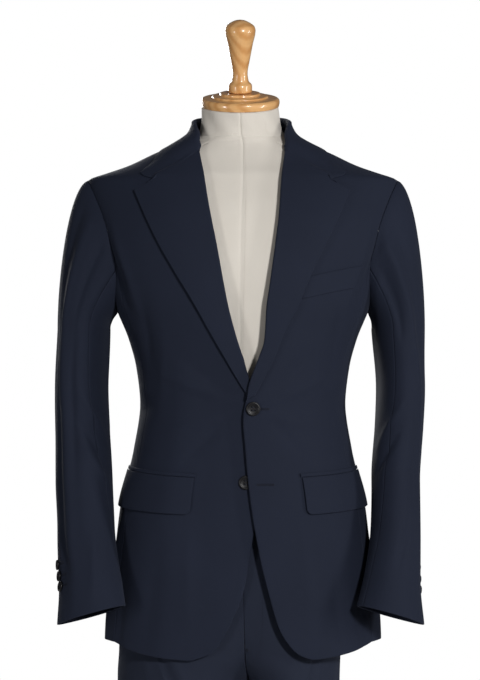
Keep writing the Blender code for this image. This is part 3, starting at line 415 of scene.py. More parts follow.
JACKET_CREASES = Table(CREASE_COLUMNS, [
    (-79, 0.820, -73, 1.020, 0.017, 0.0034),
    (-93, 0.820, -90, 0.960, 0.012, -0.0026),
    (-62, 0.820, -60, 0.930, 0.014, -0.0016),
    (81, 0.820, 76, 1.000, 0.018, 0.0030),
    (96, 0.820, 92, 0.990, 0.013, -0.0028),
    (58, 0.815, 57, 0.950, 0.015, -0.0014),
    (139, 0.820, 134, 1.010, 0.020, 0.0036),
    (158, 0.820, 157, 0.980, 0.017, -0.0024),
    (-143, 0.820, -137, 1.030, 0.019, 0.0032),
    (-161, 0.820, -159, 1.000, 0.016, -0.0026),
    (9, 1.182, 47, 1.216, 0.0080, 0.0012),
    (10, 1.192, 34, 1.246, 0.0085, -0.0009),
    (9, 1.168, 42, 1.146, 0.0080, 0.0011),
    (12, 1.160, 30, 1.108, 0.0090, -0.0009),
    (-2, 1.184, -45, 1.221, 0.0080, 0.0013),
    (-4, 1.194, -36, 1.252, 0.0090, -0.0008),
    (-6, 1.166, -46, 1.138, 0.0085, 0.0011),
    (-8, 1.156, -30, 1.096, 0.0100, -0.0008),
    (26, 0.850, 24, 1.020, 0.0160, 0.0013),
    (41, 0.835, 38, 0.985, 0.0150, -0.0014),
    (-20, 0.850, -22, 1.010, 0.0150, 0.0012),
    (-40, 0.835, -37, 0.990, 0.0170, -0.0015),
    (33, 1.290, 47, 1.180, 0.0160, 0.0012),
    (-36, 1.300, -50, 1.185, 0.0170, 0.0013),
    (-45, 1.330, -56, 1.235, 0.0120, -0.0014),
    (44, 1.320, 54, 1.230, 0.0120, -0.0012),
    (54, 1.186, 84, 1.172, 0.0130, -0.0009),
    (56, 1.205, 82, 1.200, 0.0140, 0.0008),
    (-52, 1.180, -84, 1.168, 0.0140, -0.0010),
    (-56, 1.202, -82, 1.196, 0.0130, 0.0008),
    (60, 1.320, 69, 1.440, 0.0130, -0.0022),
    (50, 1.320, 57, 1.440, 0.0130, 0.0016),
    (-60, 1.310, -69, 1.440, 0.0140, -0.0026),
    (-51, 1.310, -58, 1.435, 0.0120, 0.0018),
    (127, 1.270, 122, 1.420, 0.0150, 0.0028),
    (137, 1.260, 132, 1.400, 0.0130, -0.0016),
    (-128, 1.260, -123, 1.425, 0.0160, 0.0026),
    (-139, 1.270, -133, 1.395, 0.0130, -0.0018),
    (146, 1.190, 177, 1.178, 0.0120, -0.0014),
    (-144, 1.184, -176, 1.192, 0.0130, -0.0013),
    (150, 1.215, 174, 1.222, 0.0140, 0.0010),
    (-148, 1.212, -173, 1.205, 0.0120, 0.0011),
    (158, 1.505, 177, 1.528, 0.0090, -0.0011),
    (-156, 1.500, -176, 1.522, 0.0100, -0.0012),
])

# %% [markdown]
# The jacket is one skin first: at each height a ring that is between an ellipse and a box, a little
# deeper at the front. Every panel is a patch of that skin, so their seams match, and what lies on a
# panel is its own points moved out.

# %% The jacket's skin
JACKET_DEPTH = 1.7


def ring_point(centre_x, angle, height, half_width, front_depth, back_depth, squareness):
    """Point of a level superellipse: 0 degrees is the front, 90 the wearer's left, 180 the back."""
    turn = np.radians(angle)
    power = 2.0 / squareness
    sine = np.sin(turn)
    cosine = np.cos(turn)
    depth = np.where(cosine > 0, front_depth, back_depth)
    x = centre_x + half_width * np.sign(sine) * np.abs(sine) ** power
    y = -depth * np.sign(cosine) * np.abs(cosine) ** power
    return np.stack(np.broadcast_arrays(x, y, height), axis=-1)


def jacket_skin(angle, height):
    """Point of the jacket's outer side."""
    return ring_point(JACKET_AXIS, angle, height, JACKET.at("half_width", height),
                      JACKET.at("front_depth", height), JACKET.at("back_depth", height),
                      JACKET.at("squareness", height))


def jacket_normal(angle, height):
    """Outward direction of the jacket's outer side, from its slopes around and upwards."""
    turn = 0.25
    climb = 0.0004
    around = jacket_skin(angle + turn, height) - jacket_skin(angle - turn, height)
    up = jacket_skin(angle, height + climb) - jacket_skin(angle, height - climb)
    normal = np.cross(around, up)
    return normal / np.linalg.norm(normal, axis=-1, keepdims=True)


def jacket_drape(angle, height):
    """Rise of the jacket's creases at an angle, first brought between -180 and 180 degrees."""
    turned = (np.asarray(angle, float) + 180.0) % 360.0 - 180.0
    return crease_rise(turned, height, JACKET_ARC, JACKET_CREASES) * JACKET_DEPTH


def jacket_point(angle, height, lift=0.0):
    """Point of the jacket's outer side, moved out along the normal by the drape and the lift."""
    angle, height = np.broadcast_arrays(np.asarray(angle, float), np.asarray(height, float))
    raised = (np.asarray(lift, float) + jacket_drape(angle, height))[..., None]
    return jacket_skin(angle, height) + jacket_normal(angle, height) * raised


def angle_at(x, height):
    """Angle on the front of the jacket's ring at which it is x from the floor's centre line."""
    share = (np.asarray(x, dtype=float) - JACKET_AXIS) / JACKET.at("half_width", height)
    share = np.clip(share, -1.0, 1.0)
    sine = np.sign(share) * np.abs(share) ** (JACKET.at("squareness", height) / 2.0)
    return np.degrees(np.arcsin(sine))


def underlap(angle, height):
    """How deep the right front lies under the left one: all of it at the button stand, nothing
    at the side or above the V."""
    near_edge = np.clip((np.asarray(angle) + 38.0) / 24.0, 0.0, 1.0)
    below_roll = np.clip((1.300 - np.asarray(height)) / 0.080, 0.0, 1.0)
    near_edge = near_edge ** 2 * (3 - 2 * near_edge)
    below_roll = below_roll ** 2 * (3 - 2 * below_roll)
    return BUTTON_UNDERLAP * near_edge * below_roll


def front_point(side, angle, height, lift):
    """Point on a front panel, moved out by the lift; the right one lies under the left one."""
    if side == RIGHT:
        lift = lift - underlap(angle, height)
    return jacket_point(angle, height, lift)


# %% [markdown]
# Cloth is a thin wall. The outer side is a grid of points, the inner side is the same grid moved in
# along its normals, and a narrow rolled rim joins the two all round. The rim is what makes an edge
# look folded and pressed rather than cut from card, so it is worth a ring of its own. A UV map holds
# arc lengths in metres, and the weave follows the cloth on it.

# %% Thin walls from grids
def grid_normals(points):
    """Unit normals of a grid: the cross product of its slopes along rows and along columns."""
    across = np.gradient(points, axis=1)
    up = np.gradient(points, axis=0)
    normal = np.cross(across, up)
    return normal / np.maximum(np.linalg.norm(normal, axis=-1, keepdims=True), 1e-12)


def arc_lengths(points, axis):
    """Length walked along one direction of a grid up to each of its points."""
    steps = np.linalg.norm(np.diff(points, axis=axis), axis=-1)
    start = np.zeros_like(np.take(steps, [0], axis=axis))
    return np.concatenate([start, np.cumsum(steps, axis=axis)], axis=axis)


def fill_mesh(name, vertices, quads, uv, materials):
    """Mesh object from whole arrays: points, four corners a face and one UV pair a point."""
    mesh = bpy.data.meshes.new(name)
    mesh.vertices.add(len(vertices))
    mesh.vertices.foreach_set("co", np.asarray(vertices, np.float32).ravel())
    mesh.loops.add(quads.size)
    mesh.loops.foreach_set("vertex_index", quads.ravel().astype(np.int32))
    mesh.polygons.add(len(quads))
    mesh.polygons.foreach_set("loop_start", np.arange(0, quads.size, quads.shape[1], dtype=np.int32))
    layer = mesh.uv_layers.new(name="arc")
    layer.data.foreach_set("uv", np.asarray(uv, np.float32)[quads.ravel()].ravel())
    for material in materials:
        mesh.materials.append(material)
    mesh.validate()
    mesh.update()
    mesh.shade_smooth()
    made = bpy.data.objects.new(name, mesh)
    bpy.context.scene.collection.objects.link(made)
    return made


def grid_quads(rows, columns):
    """Corners of the faces of a grid of points, row by row."""
    low = (np.arange(rows - 1)[:, None] * columns + np.arange(columns - 1)[None, :]).ravel()
    return np.stack([low, low + 1, low + columns + 1, low + columns], axis=1)


def border(rows, columns):
    """Point numbers round a grid, along its first row first."""
    first = np.arange(columns)
    right = np.arange(1, rows) * columns + columns - 1
    last = (rows - 1) * columns + np.arange(columns - 2, -1, -1)
    left = np.arange(rows - 2, 0, -1) * columns
    return np.concatenate([first, right, last, left])


EDGE_ROLL = 0.00031
INNER_EDGE = 0.15


def cloth_wall(name, points, wall, material, inside, dip=0.10):
    """Thin wall: outer grid, inner grid = outer - normal * wall, and a rim whose middle stands out
    by the roll. The outermost ring of points dips by a share of the wall, so seams look pressed.
    The inside is any point that the wall's inner face looks at. Also gives the cut's width, length
    and area."""
    rows, columns = points.shape[:2]
    normal = grid_normals(points)
    r, c = rows // 2, columns // 2
    if np.dot(normal[r, c], points[r, c] - np.asarray(inside)) < 0:
        points = points[:, ::-1]
        normal = -normal[:, ::-1]
    outer = points.copy()
    ring = border(rows, columns)
    flat_outer = outer.reshape(-1, 3)
    flat_normal = normal.reshape(-1, 3)
    inner = flat_outer - flat_normal * wall
    inward = np.roll(flat_outer[ring], -1, axis=0) - np.roll(flat_outer[ring], 1, axis=0)
    out_way = np.cross(inward, flat_normal[ring])
    out_way /= np.maximum(np.linalg.norm(out_way, axis=1, keepdims=True), 1e-12)
    middle = 0.5 * (flat_outer[ring] + inner[ring]) + out_way * EDGE_ROLL
    flat_outer[ring] -= flat_normal[ring] * wall * dip
    inner[ring] += flat_normal[ring] * wall * INNER_EDGE
    count = rows * columns
    vertices = np.concatenate([flat_outer, inner, middle])
    outer_faces = grid_quads(rows, columns)
    inner_faces = outer_faces[:, ::-1] + count
    here = np.arange(len(ring))
    after = np.roll(here, -1)
    rim_here, rim_after = 2 * count + here, 2 * count + after
    top_rim = np.stack([ring[after], ring[here], rim_here, rim_after], axis=1)
    low_rim = np.stack([rim_after, rim_here, count + ring[here], count + ring[after]], axis=1)
    u = arc_lengths(points, 1)
    v = arc_lengths(points, 0)
    uv = np.stack([u, v], -1).reshape(-1, 2)
    uv = np.concatenate([uv, uv, uv[ring]])
    quads = np.concatenate([outer_faces, inner_faces, top_rim, low_rim])
    made = fill_mesh(name, vertices, quads, uv, [material])
    width = float(u[:, -1].max())
    length = float(v[-1, :].max())
    cell = np.linalg.norm(np.cross(np.diff(points[:-1], axis=1), np.diff(points[:, :-1], axis=0)), axis=-1)
    return made, (width, length, float(cell.sum()))


def evenly(start, end, count, narrow=0.0012):
    """Even steps from start to end, with one narrow step at each end for the pressed edge."""
    share = np.linspace(narrow, 1.0 - narrow, count)
    share = np.concatenate([[0.0], share, [1.0]])
    return start + (end - start) * share


def along_runs(counts, narrow=0.0016):
    """Runs 0 to 3 of a panel's outline, with the given number of steps in each."""
    parts = [np.linspace(k, k + 1, n + 1)[:-1] for k, n in enumerate(counts)]
    run = np.concatenate(parts + [[3.0]])
    return np.concatenate([[0.0, narrow], run[1:-1], [3.0 - narrow, 3.0]])


# %% [markdown]
# ## Finishes
#
# The suit is a fine navy worsted: dull, with a soft sheen where it turns away. Its twill lines are
# half a millimetre apart, so they are a bump and a slight change of shade, not a drawing. The weave is
# one node group that cloth, linen and thread share with their own values. Constants such as sheen
# stay on the shader, where the export can read them.

# %% Weave group
def new_group(name, inputs, outputs):
    """Node group with named sockets: inputs are (name, type, default), outputs (name, type)."""
    group = bpy.data.node_groups.new(name, "ShaderNodeTree")
    for title, kind, default in inputs:
        made = group.interface.new_socket(name=title, in_out="INPUT", socket_type=kind)
        if default is not None:
            made.default_value = default
    for title, kind in outputs:
        group.interface.new_socket(name=title, in_out="OUTPUT", socket_type=kind)
    return group


def wire(tree, source, target):
    """Join two sockets, each given as (node, socket name or number)."""
    tree.links.new(source[0].outputs[source[1]], target[0].inputs[target[1]])


def add_node(tree, kind, **settings):
    """New node with properties and input values set by name; input names use _ for spaces."""
    made = tree.nodes.new(kind)
    for key, value in settings.items():
        if hasattr(made, key):
            setattr(made, key, value)
        else:
            made.inputs[key.replace("_", " ")].default_value = value
    return made


def times_plus(tree, first, factor, second, clamp=False):
    """Socket that gives first * factor + second."""
    sum_of = add_node(tree, "ShaderNodeMath", operation="MULTIPLY_ADD", use_clamp=clamp)
    wire(tree, first, (sum_of, 0))
    sum_of.inputs[1].default_value = factor
    wire(tree, second, (sum_of, 2))
    return sum_of, 0


def weave_group():
    """Twill and yarn: diagonal bands times fine upright bands, plus slow unevenness of the dye."""
    number, vector = "NodeSocketFloat", "NodeSocketVector"
    group = new_group("weave", [("Arc", vector, None), ("Place", vector, None), ("Threads", number, 1800.0),
                                ("Unevenness", number, 0.5)], [("Shade", number), ("Height", number)])
    start = group.nodes.new("NodeGroupInput")
    end = group.nodes.new("NodeGroupOutput")
    scaled = add_node(group, "ShaderNodeVectorMath", operation="SCALE")
    wire(group, (start, "Arc"), (scaled, 0))
    wire(group, (start, "Threads"), (scaled, "Scale"))
    diagonal = add_node(group, "ShaderNodeTexWave", wave_type="BANDS", bands_direction="DIAGONAL",
                        Scale=0.30, Distortion=0.6, Detail=1.0)
    upright = add_node(group, "ShaderNodeTexWave", wave_type="BANDS", bands_direction="X",
                       Scale=0.62, Distortion=0.9, Detail=1.0)
    wire(group, (scaled, 0), (diagonal, "Vector"))
    wire(group, (scaled, 0), (upright, "Vector"))
    slow = add_node(group, "ShaderNodeTexNoise", Scale=7.0, Detail=3.0, Roughness=0.55)
    fine = add_node(group, "ShaderNodeTexNoise", Scale=420.0, Detail=2.0, Roughness=0.6)
    wire(group, (start, "Place"), (slow, "Vector"))
    wire(group, (start, "Place"), (fine, "Vector"))
    yarn = times_plus(group, (upright, "Fac"), 0.45, (diagonal, "Fac"))
    height = times_plus(group, (fine, "Fac"), 0.55, yarn)
    wire(group, height, (end, "Height"))
    uneven = add_node(group, "ShaderNodeMath", operation="MULTIPLY")
    wire(group, (slow, "Fac"), (uneven, 0))
    wire(group, (start, "Unevenness"), (uneven, 1))
    wire(group, times_plus(group, height, 0.28, (uneven, 0), clamp=True), (end, "Shade"))
    return group


WEAVE = weave_group()
print("weave group sockets:", len(WEAVE.interface.items_tree))


# %% Cloth, linen and thread
def empty_material(name):
    """Material with a Principled shader, and its tree."""
    material = bpy.data.materials.new(name)
    material.use_nodes = True
    tree = material.node_tree
    return material, tree, tree.nodes["Principled BSDF"]


def mixed_colour(tree, shader, factor, dark, light):
    """Base colour between two colours by a socket that gives 0 to 1."""
    mix = add_node(tree, "ShaderNodeMix", data_type="RGBA")
    mix.inputs[6].default_value = (*dark, 1.0)
    mix.inputs[7].default_value = (*light, 1.0)
    wire(tree, factor, (mix, 0))
    wire(tree, (mix, 2), (shader, "Base Color"))


def relief(tree, shader, height, strength, distance):
    """Bump of a shader from a socket of heights."""
    bump = add_node(tree, "ShaderNodeBump", Strength=strength, Distance=distance)
    wire(tree, height, (bump, "Height"))
    wire(tree, (bump, "Normal"), (shader, "Normal"))


def settle(node, values):
    """Constants on the named inputs of a node, left unlinked."""
    for name, value in values.items():
        node.inputs[name].default_value = value


def woven_material(name, dark, light, threads, bump, roughness, sheen, unevenness=0.5):
    """Woven finish: two shades mixed by the weave, a bump from its height, and constant sheen."""
    material, tree, shader = empty_material(name)
    place = add_node(tree, "ShaderNodeTexCoord")
    weave = tree.nodes.new("ShaderNodeGroup")
    weave.node_tree = WEAVE
    settle(weave, {"Threads": threads, "Unevenness": unevenness})
    wire(tree, (place, "UV"), (weave, "Arc"))
    wire(tree, (place, "Object"), (weave, "Place"))
    mixed_colour(tree, shader, (weave, "Shade"), dark, light)
    relief(tree, shader, (weave, "Height"), bump, 0.0002)
    settle(shader, {"Roughness": roughness, "Sheen Weight": sheen, "Sheen Roughness": 0.45,
                    "Sheen Tint": (0.55, 0.62, 0.85, 1.0), "Specular IOR Level": 0.16})
    return material


NAVY = woven_material("navy_worsted", (0.0083, 0.0110, 0.0208), (0.0160, 0.0210, 0.0400), 1800.0, 0.35,
                      0.80, 0.05)
NAVY_TROUSER = woven_material("navy_worsted_trousers", (0.0104, 0.0134, 0.0242), (0.0195, 0.0248, 0.0440),
                              1800.0, 0.35, 0.80, 0.05)
LINEN = woven_material("form_linen", (0.62, 0.565, 0.49), (0.83, 0.785, 0.715), 1500.0, 0.45, 0.90, 0.05,
                       unevenness=0.6)
THREAD = woven_material("navy_thread", (0.006, 0.007, 0.012), (0.018, 0.021, 0.034), 5000.0, 0.40, 0.70,
                        0.05)
LINEN_THREAD = woven_material("linen_thread", (0.50, 0.45, 0.38), (0.70, 0.65, 0.58), 5000.0, 0.4, 0.8, 0.1)

# %% [markdown]
# Horn is dark and polished, with cloudy streaks that only show in a highlight. The wood of the cap
# and knob is turned beech under a clear varnish: its growth rings are bands round a tilted axis that
# a little noise bends, and the varnish is the shader's coat. The stand is brushed steel, with streaks
# that run round the pole and round the base.

# %% Horn, wood and steel
def streak_material(name, dark, light, stretch, scale, roughness, coat=0.0, metallic=0.0, specular=0.5,
                    bump=0.1, turn=(0.0, 0.0, 0.0), rings=True):
    """Two shades mixed by bands that noise bends; stretch squeezes the pattern along each axis."""
    material, tree, shader = empty_material(name)
    place = add_node(tree, "ShaderNodeTexCoord")
    shape = add_node(tree, "ShaderNodeMapping")
    settle(shape, {"Rotation": turn, "Scale": stretch})
    wire(tree, (place, "Object"), (shape, "Vector"))
    if rings:
        pattern = add_node(tree, "ShaderNodeTexWave", wave_type="RINGS", rings_direction="Z", Scale=scale,
                           Distortion=3.2, Detail=2.5, Detail_Scale=0.8)
    else:
        pattern = add_node(tree, "ShaderNodeTexNoise", Scale=scale, Detail=5.0, Roughness=0.6)
    pores = add_node(tree, "ShaderNodeTexNoise", Scale=scale * 9.0, Detail=3.0, Roughness=0.65)
    wire(tree, (shape, "Vector"), (pattern, "Vector"))
    wire(tree, (shape, "Vector"), (pores, "Vector"))
    mixed_colour(tree, shader, times_plus(tree, (pores, "Fac"), 0.45, (pattern, "Fac"), clamp=True),
                 dark, light)
    relief(tree, shader, (pores, "Fac"), bump, 0.0003)
    settle(shader, {"Roughness": roughness, "Metallic": metallic, "Specular IOR Level": specular,
                    "Coat Weight": coat, "Coat Roughness": 0.12})
    return material


HORN = streak_material("dark_horn", (0.0020, 0.0022, 0.0035), (0.008, 0.0075, 0.009), (1.0, 1.0, 2.0),
                       60.0, 0.36, specular=0.30, bump=0.05, rings=False)
BEECH = streak_material("varnished_beech", (0.62, 0.285, 0.085), (0.80, 0.45, 0.18), (1.0, 1.0, 0.16),
                        34.0, 0.34, coat=0.75, bump=0.06, turn=(0.35, 0.22, 0.0))
STEEL_POLE = streak_material("steel_pole", (0.34, 0.34, 0.35), (0.62, 0.62, 0.63), (0.4, 0.4, 40.0), 12.0,
                             0.32, metallic=1.0, bump=0.04, rings=False)
STEEL_BASE = streak_material("steel_base", (0.36, 0.36, 0.37), (0.60, 0.60, 0.61), (18.0, 0.5, 1.0), 10.0,
                             0.36, metallic=1.0, bump=0.03, rings=False)
print("materials:", len(bpy.data.materials))

# %% [markdown]
# ## The jacket's body
#
# A jacket's body is six panels: two fronts, two side panels and a back in two halves. A panel is a
# grid whose rows run from its middle edge to its seam, armhole or shoulder. The rows leave the edge
# level and bend up late, so a rounded corner at the hem stays round.

# %% Outlines
FRONT_SEAM_BEND = 1.2
BACK_SEAM_BEND = 5.5


def armhole(turn):
    """Angle and height of the armhole: 0 degrees of turn is the shoulder, 90 the front."""
    turn = np.radians(turn)
    middle = 0.5 * (ARMHOLE_TOP + ARMHOLE_BOTTOM)
    reach = 0.5 * (ARMHOLE_TOP - ARMHOLE_BOTTOM)
    return 90.0 - ARMHOLE_SWING * np.sin(turn), middle + reach * np.cos(turn)


def front_seam(height):
    """Angle of the seam between front and side panel: it bends forward towards the armhole."""
    bend = np.clip((np.asarray(height) - 1.20) / 0.18, 0.0, 1.0)
    return FRONT_SEAM_ANGLE - FRONT_SEAM_BEND * bend ** 2


def back_seam(height):
    """Angle of the seam between side panel and back: it bends in towards the armhole."""
    bend = np.clip((np.asarray(height) - 1.18) / 0.19, 0.0, 1.0)
    return BACK_SEAM_ANGLE - BACK_SEAM_BEND * bend ** 2


def turn_at_seam(angle):
    """Turn round the armhole, in its lower half, at which a seam's angle from the side meets it."""
    return 180.0 - math.degrees(math.asin(angle / ARMHOLE_SWING))


FRONT_JUNCTION_TURN = turn_at_seam(90.0 - FRONT_SEAM_ANGLE + FRONT_SEAM_BEND)
BACK_JUNCTION_TURN = -turn_at_seam(BACK_SEAM_ANGLE - BACK_SEAM_BEND - 90.0)


def panel_outline(run, junction_turn, seam):
    """Angle and height along a panel's outer side: up the seam to 1, round the armhole to the
    shoulder point at 2, and along the shoulder seam to the neck at 3."""
    run = np.asarray(run, dtype=float)
    junction = armhole(junction_turn)[1]
    seam_height = SIDE_HEM + (junction - SIDE_HEM) * np.clip(run, 0.0, 1.0)
    arm_angle, arm_height = armhole(junction_turn * np.clip(2.0 - run, 0.0, 1.0))
    shoulder_height = ARMHOLE_TOP + (NECK_POINT - ARMHOLE_TOP) * np.clip(run - 2.0, 0.0, 1.0)
    angle = np.where(run <= 1.0, seam(seam_height), np.where(run <= 2.0, arm_angle, 90.0))
    height = np.where(run <= 1.0, seam_height, np.where(run <= 2.0, arm_height, shoulder_height))
    return angle, height


def seam_shift(height):
    """Half a seam gap, in degrees round the ring at a height."""
    return np.degrees(0.5 * SEAM_GAP / JACKET.at("front_depth", height))


PIECES = []
NARROWEST_CUT = 0.012


def keep(piece, node):
    """Piece rides on the suit's one body, stands for its node and joins the list of pieces."""
    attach(piece, "root")
    if node:
        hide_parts(node)
    PIECES.append(piece)


def sew(node, points, wall, inside, dip=0.10,
        material=NAVY):
    """Piece of cloth for a node: its thin wall, its place in the suit and the flat size of its cut."""
    piece, (width, length, area) = cloth_wall(node + "_cloth", points, wall, material, inside, dip)
    keep(piece, node)
    width, length = round(width, 3), round(max(length, NARROWEST_CUT), 3)
    print(node, "cut", width, "by", length, "m")


# %% Fronts, side panels and backs
ROW_BEND = 1.5
PANEL_STEPS = (125, 42, 22)


def panel(name, side, middle, outer, place, columns):
    """Grid from the middle edge to the outer one, each given as angles and heights. The angle goes
    evenly, and the height as the share to the power of ROW_BEND."""
    name = name + "_" + SIDE_NAMES[side]
    (middle_angle, middle_height), (outer_angle, outer_height) = middle, outer
    across = evenly(0.0, 1.0, columns, 0.006)
    angle = middle_angle[:, None] + (outer_angle - middle_angle)[:, None] * across
    height = middle_height[:, None] + (outer_height - middle_height)[:, None] * across ** ROW_BEND
    sew(name, place(angle, height), JACKET_WALL, (0, 0, 1.2))


def make_front(side):
    """Front from its edge, or its roll line above the button, to the side seam and shoulder."""
    run = along_runs(PANEL_STEPS)
    table = FRONT_EDGE[side]
    rolled = np.clip((run - ROLL_RUN) / 0.05, 0.0, 1.0)
    edge_x = table.at("edge_x", run) + NECKLINE_INSET * rolled
    edge_height = table.at("edge_height", run)
    outer, outer_height = panel_outline(run, FRONT_JUNCTION_TURN, front_seam)
    outer = side * (outer - seam_shift(outer_height))
    edge = (angle_at(side * edge_x, edge_height), edge_height)
    panel("front", side, edge, (outer, outer_height),
          lambda angle, height: front_point(side, angle, height, 0.0), 64)


def make_back(side):
    """Half of the back from the centre seam to the side seam, armhole and shoulder."""
    run = along_runs(PANEL_STEPS)
    middle_height = BACK_MIDDLE.at("middle_height", run)
    outer, outer_height = panel_outline(run, BACK_JUNCTION_TURN, back_seam)
    outer = side * (outer + seam_shift(outer_height))
    middle = side * (180.0 - seam_shift(middle_height))
    panel("back", side, (middle, middle_height), (outer, outer_height), jacket_point, 56)


def make_side(side):
    """Side panel between the front and back seams; it spreads away at the vent."""
    turn = evenly(FRONT_JUNCTION_TURN, 360.0 + BACK_JUNCTION_TURN, 40, 0.01)[None, :]
    top_angle, top_height = armhole(turn)
    run = evenly(0.0, 1.0, 124, 0.003)[:, None]
    height = SIDE_HEM + (top_height - SEAM_GAP - SIDE_HEM) * run
    across = (top_angle - top_angle[0, 0]) / (top_angle[0, -1] - top_angle[0, 0])
    shift = seam_shift(height)
    spread = VENT_SPREAD * np.clip((VENT_TOP - height) / 0.2, 0.0, 1.0)
    start = front_seam(height) + shift
    end = back_seam(height) - shift - spread
    points = jacket_point(side * (start + (end - start) * across), height)
    sew("side_" + SIDE_NAMES[side], points, JACKET_WALL, (0, 0, 1.1))


for side in (LEFT, RIGHT):
    make_front(side)
    make_back(side)
    make_side(side)

# %% [markdown]
# ## Lapels and collar
#
# A lapel isn't sewn on flat: the front's cloth rolls over at the break and lies back on itself. So
# its grid starts underneath, at the edge of the front, goes round a small half circle and then lies on
# the front's own points. It ends in a sharp tip, so the outline is smooth up to the tip and straight
# from there to the notch. The collar goes from its foot at the neck, up inside, over the fold and down
# outside, all round the back.

# %% Lapels
LAPEL_TIP = 8.0
LAPEL_NOTCH = 9.0
LAPEL_LIFT = 0.0041
LAPEL_SWELL = 0.0008
LAPEL_BELLY = 0.0012
BELLY_WIDTH = 0.09
ROLL_RADIUS = 0.0021
TUCK_REACH = 0.0080
TUCK_TURN = 4.5
TUCK_LIFT = 0.0016


def lapel_outline(side, station, name):
    """Column of a lapel's table: smooth up to the tip, and straight from the tip to the notch."""
    table = LAPEL[side]
    smooth = smooth_between(table.keys[:9], table.values[name][:9], np.minimum(station, LAPEL_TIP))
    before, after = table.values[name][8:10]
    straight = before + (after - before) * (station - LAPEL_TIP)
    return np.where(station <= LAPEL_TIP, smooth, straight)


def make_lapel(side):
    """Lapel: a half circle of cloth under the roll line, then the front's points moved out."""
    station = np.concatenate([[0.0, 0.01], np.linspace(0.08, LAPEL_TIP, 100),
                              np.linspace(LAPEL_TIP, LAPEL_NOTCH, 12)[1:-1], [8.985, LAPEL_NOTCH]])
    roll_height = LAPEL[side].at("roll_height", station)
    outer_height = lapel_outline(side, station, "outer_height")
    roll = angle_at(side * LAPEL[side].at("roll_x", station), roll_height)
    outer = angle_at(side * lapel_outline(side, station, "outer_x"), outer_height)
    width = np.linalg.norm(jacket_skin(outer, outer_height) - jacket_skin(roll, roll_height), axis=-1)
    full = LAPEL_LIFT + LAPEL_SWELL * np.clip((station - 1.0) / 2.0, 0.0, 1.0)
    open_roll = np.clip(station / 1.2, 0.0, 1.0) * (1.0 - 0.75 * np.clip((station - 8.2) / 0.8, 0.0, 1.0))
    bend = np.linspace(math.pi, 0.0, 9)[:-1]
    curl_across = -np.sin(bend)[None, :] * (ROLL_RADIUS * open_roll)[:, None]
    curl_across = curl_across + (np.cos(bend) < -0.99)[None, :] * 0.0024 * open_roll[:, None]
    curl_lift = full[:, None] - (1.0 - np.cos(bend))[None, :] * (0.5 * full * open_roll)[:, None]
    share = evenly(0.0, 1.0, 34, 0.010)
    distance = width[:, None] * share[None, :]
    belly = LAPEL_BELLY * np.sin(math.pi * np.clip(distance / BELLY_WIDTH, 0.0, 1.0))
    lift = np.concatenate([curl_lift, full[:, None] + belly], axis=1)
    across = np.concatenate([curl_across / width[:, None], np.broadcast_to(share, distance.shape)], axis=1)
    angle = roll[:, None] + (outer - roll)[:, None] * across
    height = roll_height[:, None] + (outer_height - roll_height)[:, None] * across
    tuck = np.array([0.10, 0.30, 0.65, 1.0])[:, None]
    inwards = side * TUCK_TURN * np.clip(1.0 - np.maximum(across[-1:], 0.0) / 0.25, 0.0, 1.0)
    angle = np.concatenate([angle, angle[-1:] + inwards * tuck])
    height = np.concatenate([height, height[-1:] + TUCK_REACH * tuck])
    above_tuck = np.maximum(lift[-1:], TUCK_LIFT) - TUCK_LIFT
    lift = np.concatenate([lift, TUCK_LIFT + above_tuck * np.clip(1.0 - tuck / 0.30, 0.0, 1.0)])
    points = front_point(side, angle, height, lift)
    sew("lapel_" + SIDE_NAMES[side], points, LAPEL_WALL, (0, 0, 1.3))


make_lapel(LEFT)
make_lapel(RIGHT)

# %% Collar
COLLAR_LIFT = Table("share lift", [
    (-1.00, -0.0022),
    (-0.55, -0.0022),
    (-0.16, -0.0022),
    (-0.05, -0.0012),
    (0.00, 0.0014),
    (0.03, 0.0036),
    (0.09, 0.0047),
    (0.32, 0.0044),
    (0.66, 0.0034),
    (1.00, 0.0024),
])


# The fold stands a little off the neck, most at the side; the tables share it out.
COLLAR_OFF_NECK = {LEFT: 0.0020, RIGHT: 0.0062}
OFF_NECK_ROUND = Table("station part", [
    (0, 0.00),
    (1, 0.30),
    (2, 0.80),
    (3, 1.00),
    (4, 0.95),
    (4.6, 0.65),
    (5, 0.35),
])
OFF_NECK_FOLD = Table("share part", [
    (-1, 0.20),
    (-0.5, 0.75),
    (0, 1.00),
    (0.3, 0.85),
    (1, 0.00),
])
COLLAR_CORNER = 4.0
CORNER_PLACE = {"edge_angle": 41.5, "edge_height": 1.5045}
GORGE_GAP = 0.0005


def collar_column(name, station):
    """Column of the collar's table: the fall's edge is smooth up to the corner and straight after it."""
    smooth = COLLAR.at(name, station)
    if not name.startswith("edge"):
        return smooth
    values = COLLAR.values[name].copy()
    values[4] = CORNER_PLACE[name]
    before, after = values[4:6]
    smooth = smooth_between(COLLAR.keys[:5], values[:5], np.minimum(station, COLLAR_CORNER))
    return np.where(station <= COLLAR_CORNER, smooth, before + (after - before) * (station - COLLAR_CORNER))


def lapel_top(side, share):
    """Angle, height and lift of a lapel's gorge edge, from its roll line to the notch."""
    roll_height, outer_height = LAPEL[side].values["roll_height"][9], LAPEL[side].values["outer_height"][9]
    roll = side * angle_at(side * LAPEL[side].values["roll_x"][9], roll_height)
    outer = side * angle_at(side * LAPEL[side].values["outer_x"][9], outer_height)
    width = np.linalg.norm(jacket_skin(outer, outer_height) - jacket_skin(roll, roll_height))
    belly = LAPEL_BELLY * np.sin(math.pi * np.clip(width * share / BELLY_WIDTH, 0.0, 1.0))
    lift = LAPEL_LIFT + LAPEL_SWELL + belly
    return roll + (outer - roll) * share, roll_height + (outer_height - roll_height) * share, lift


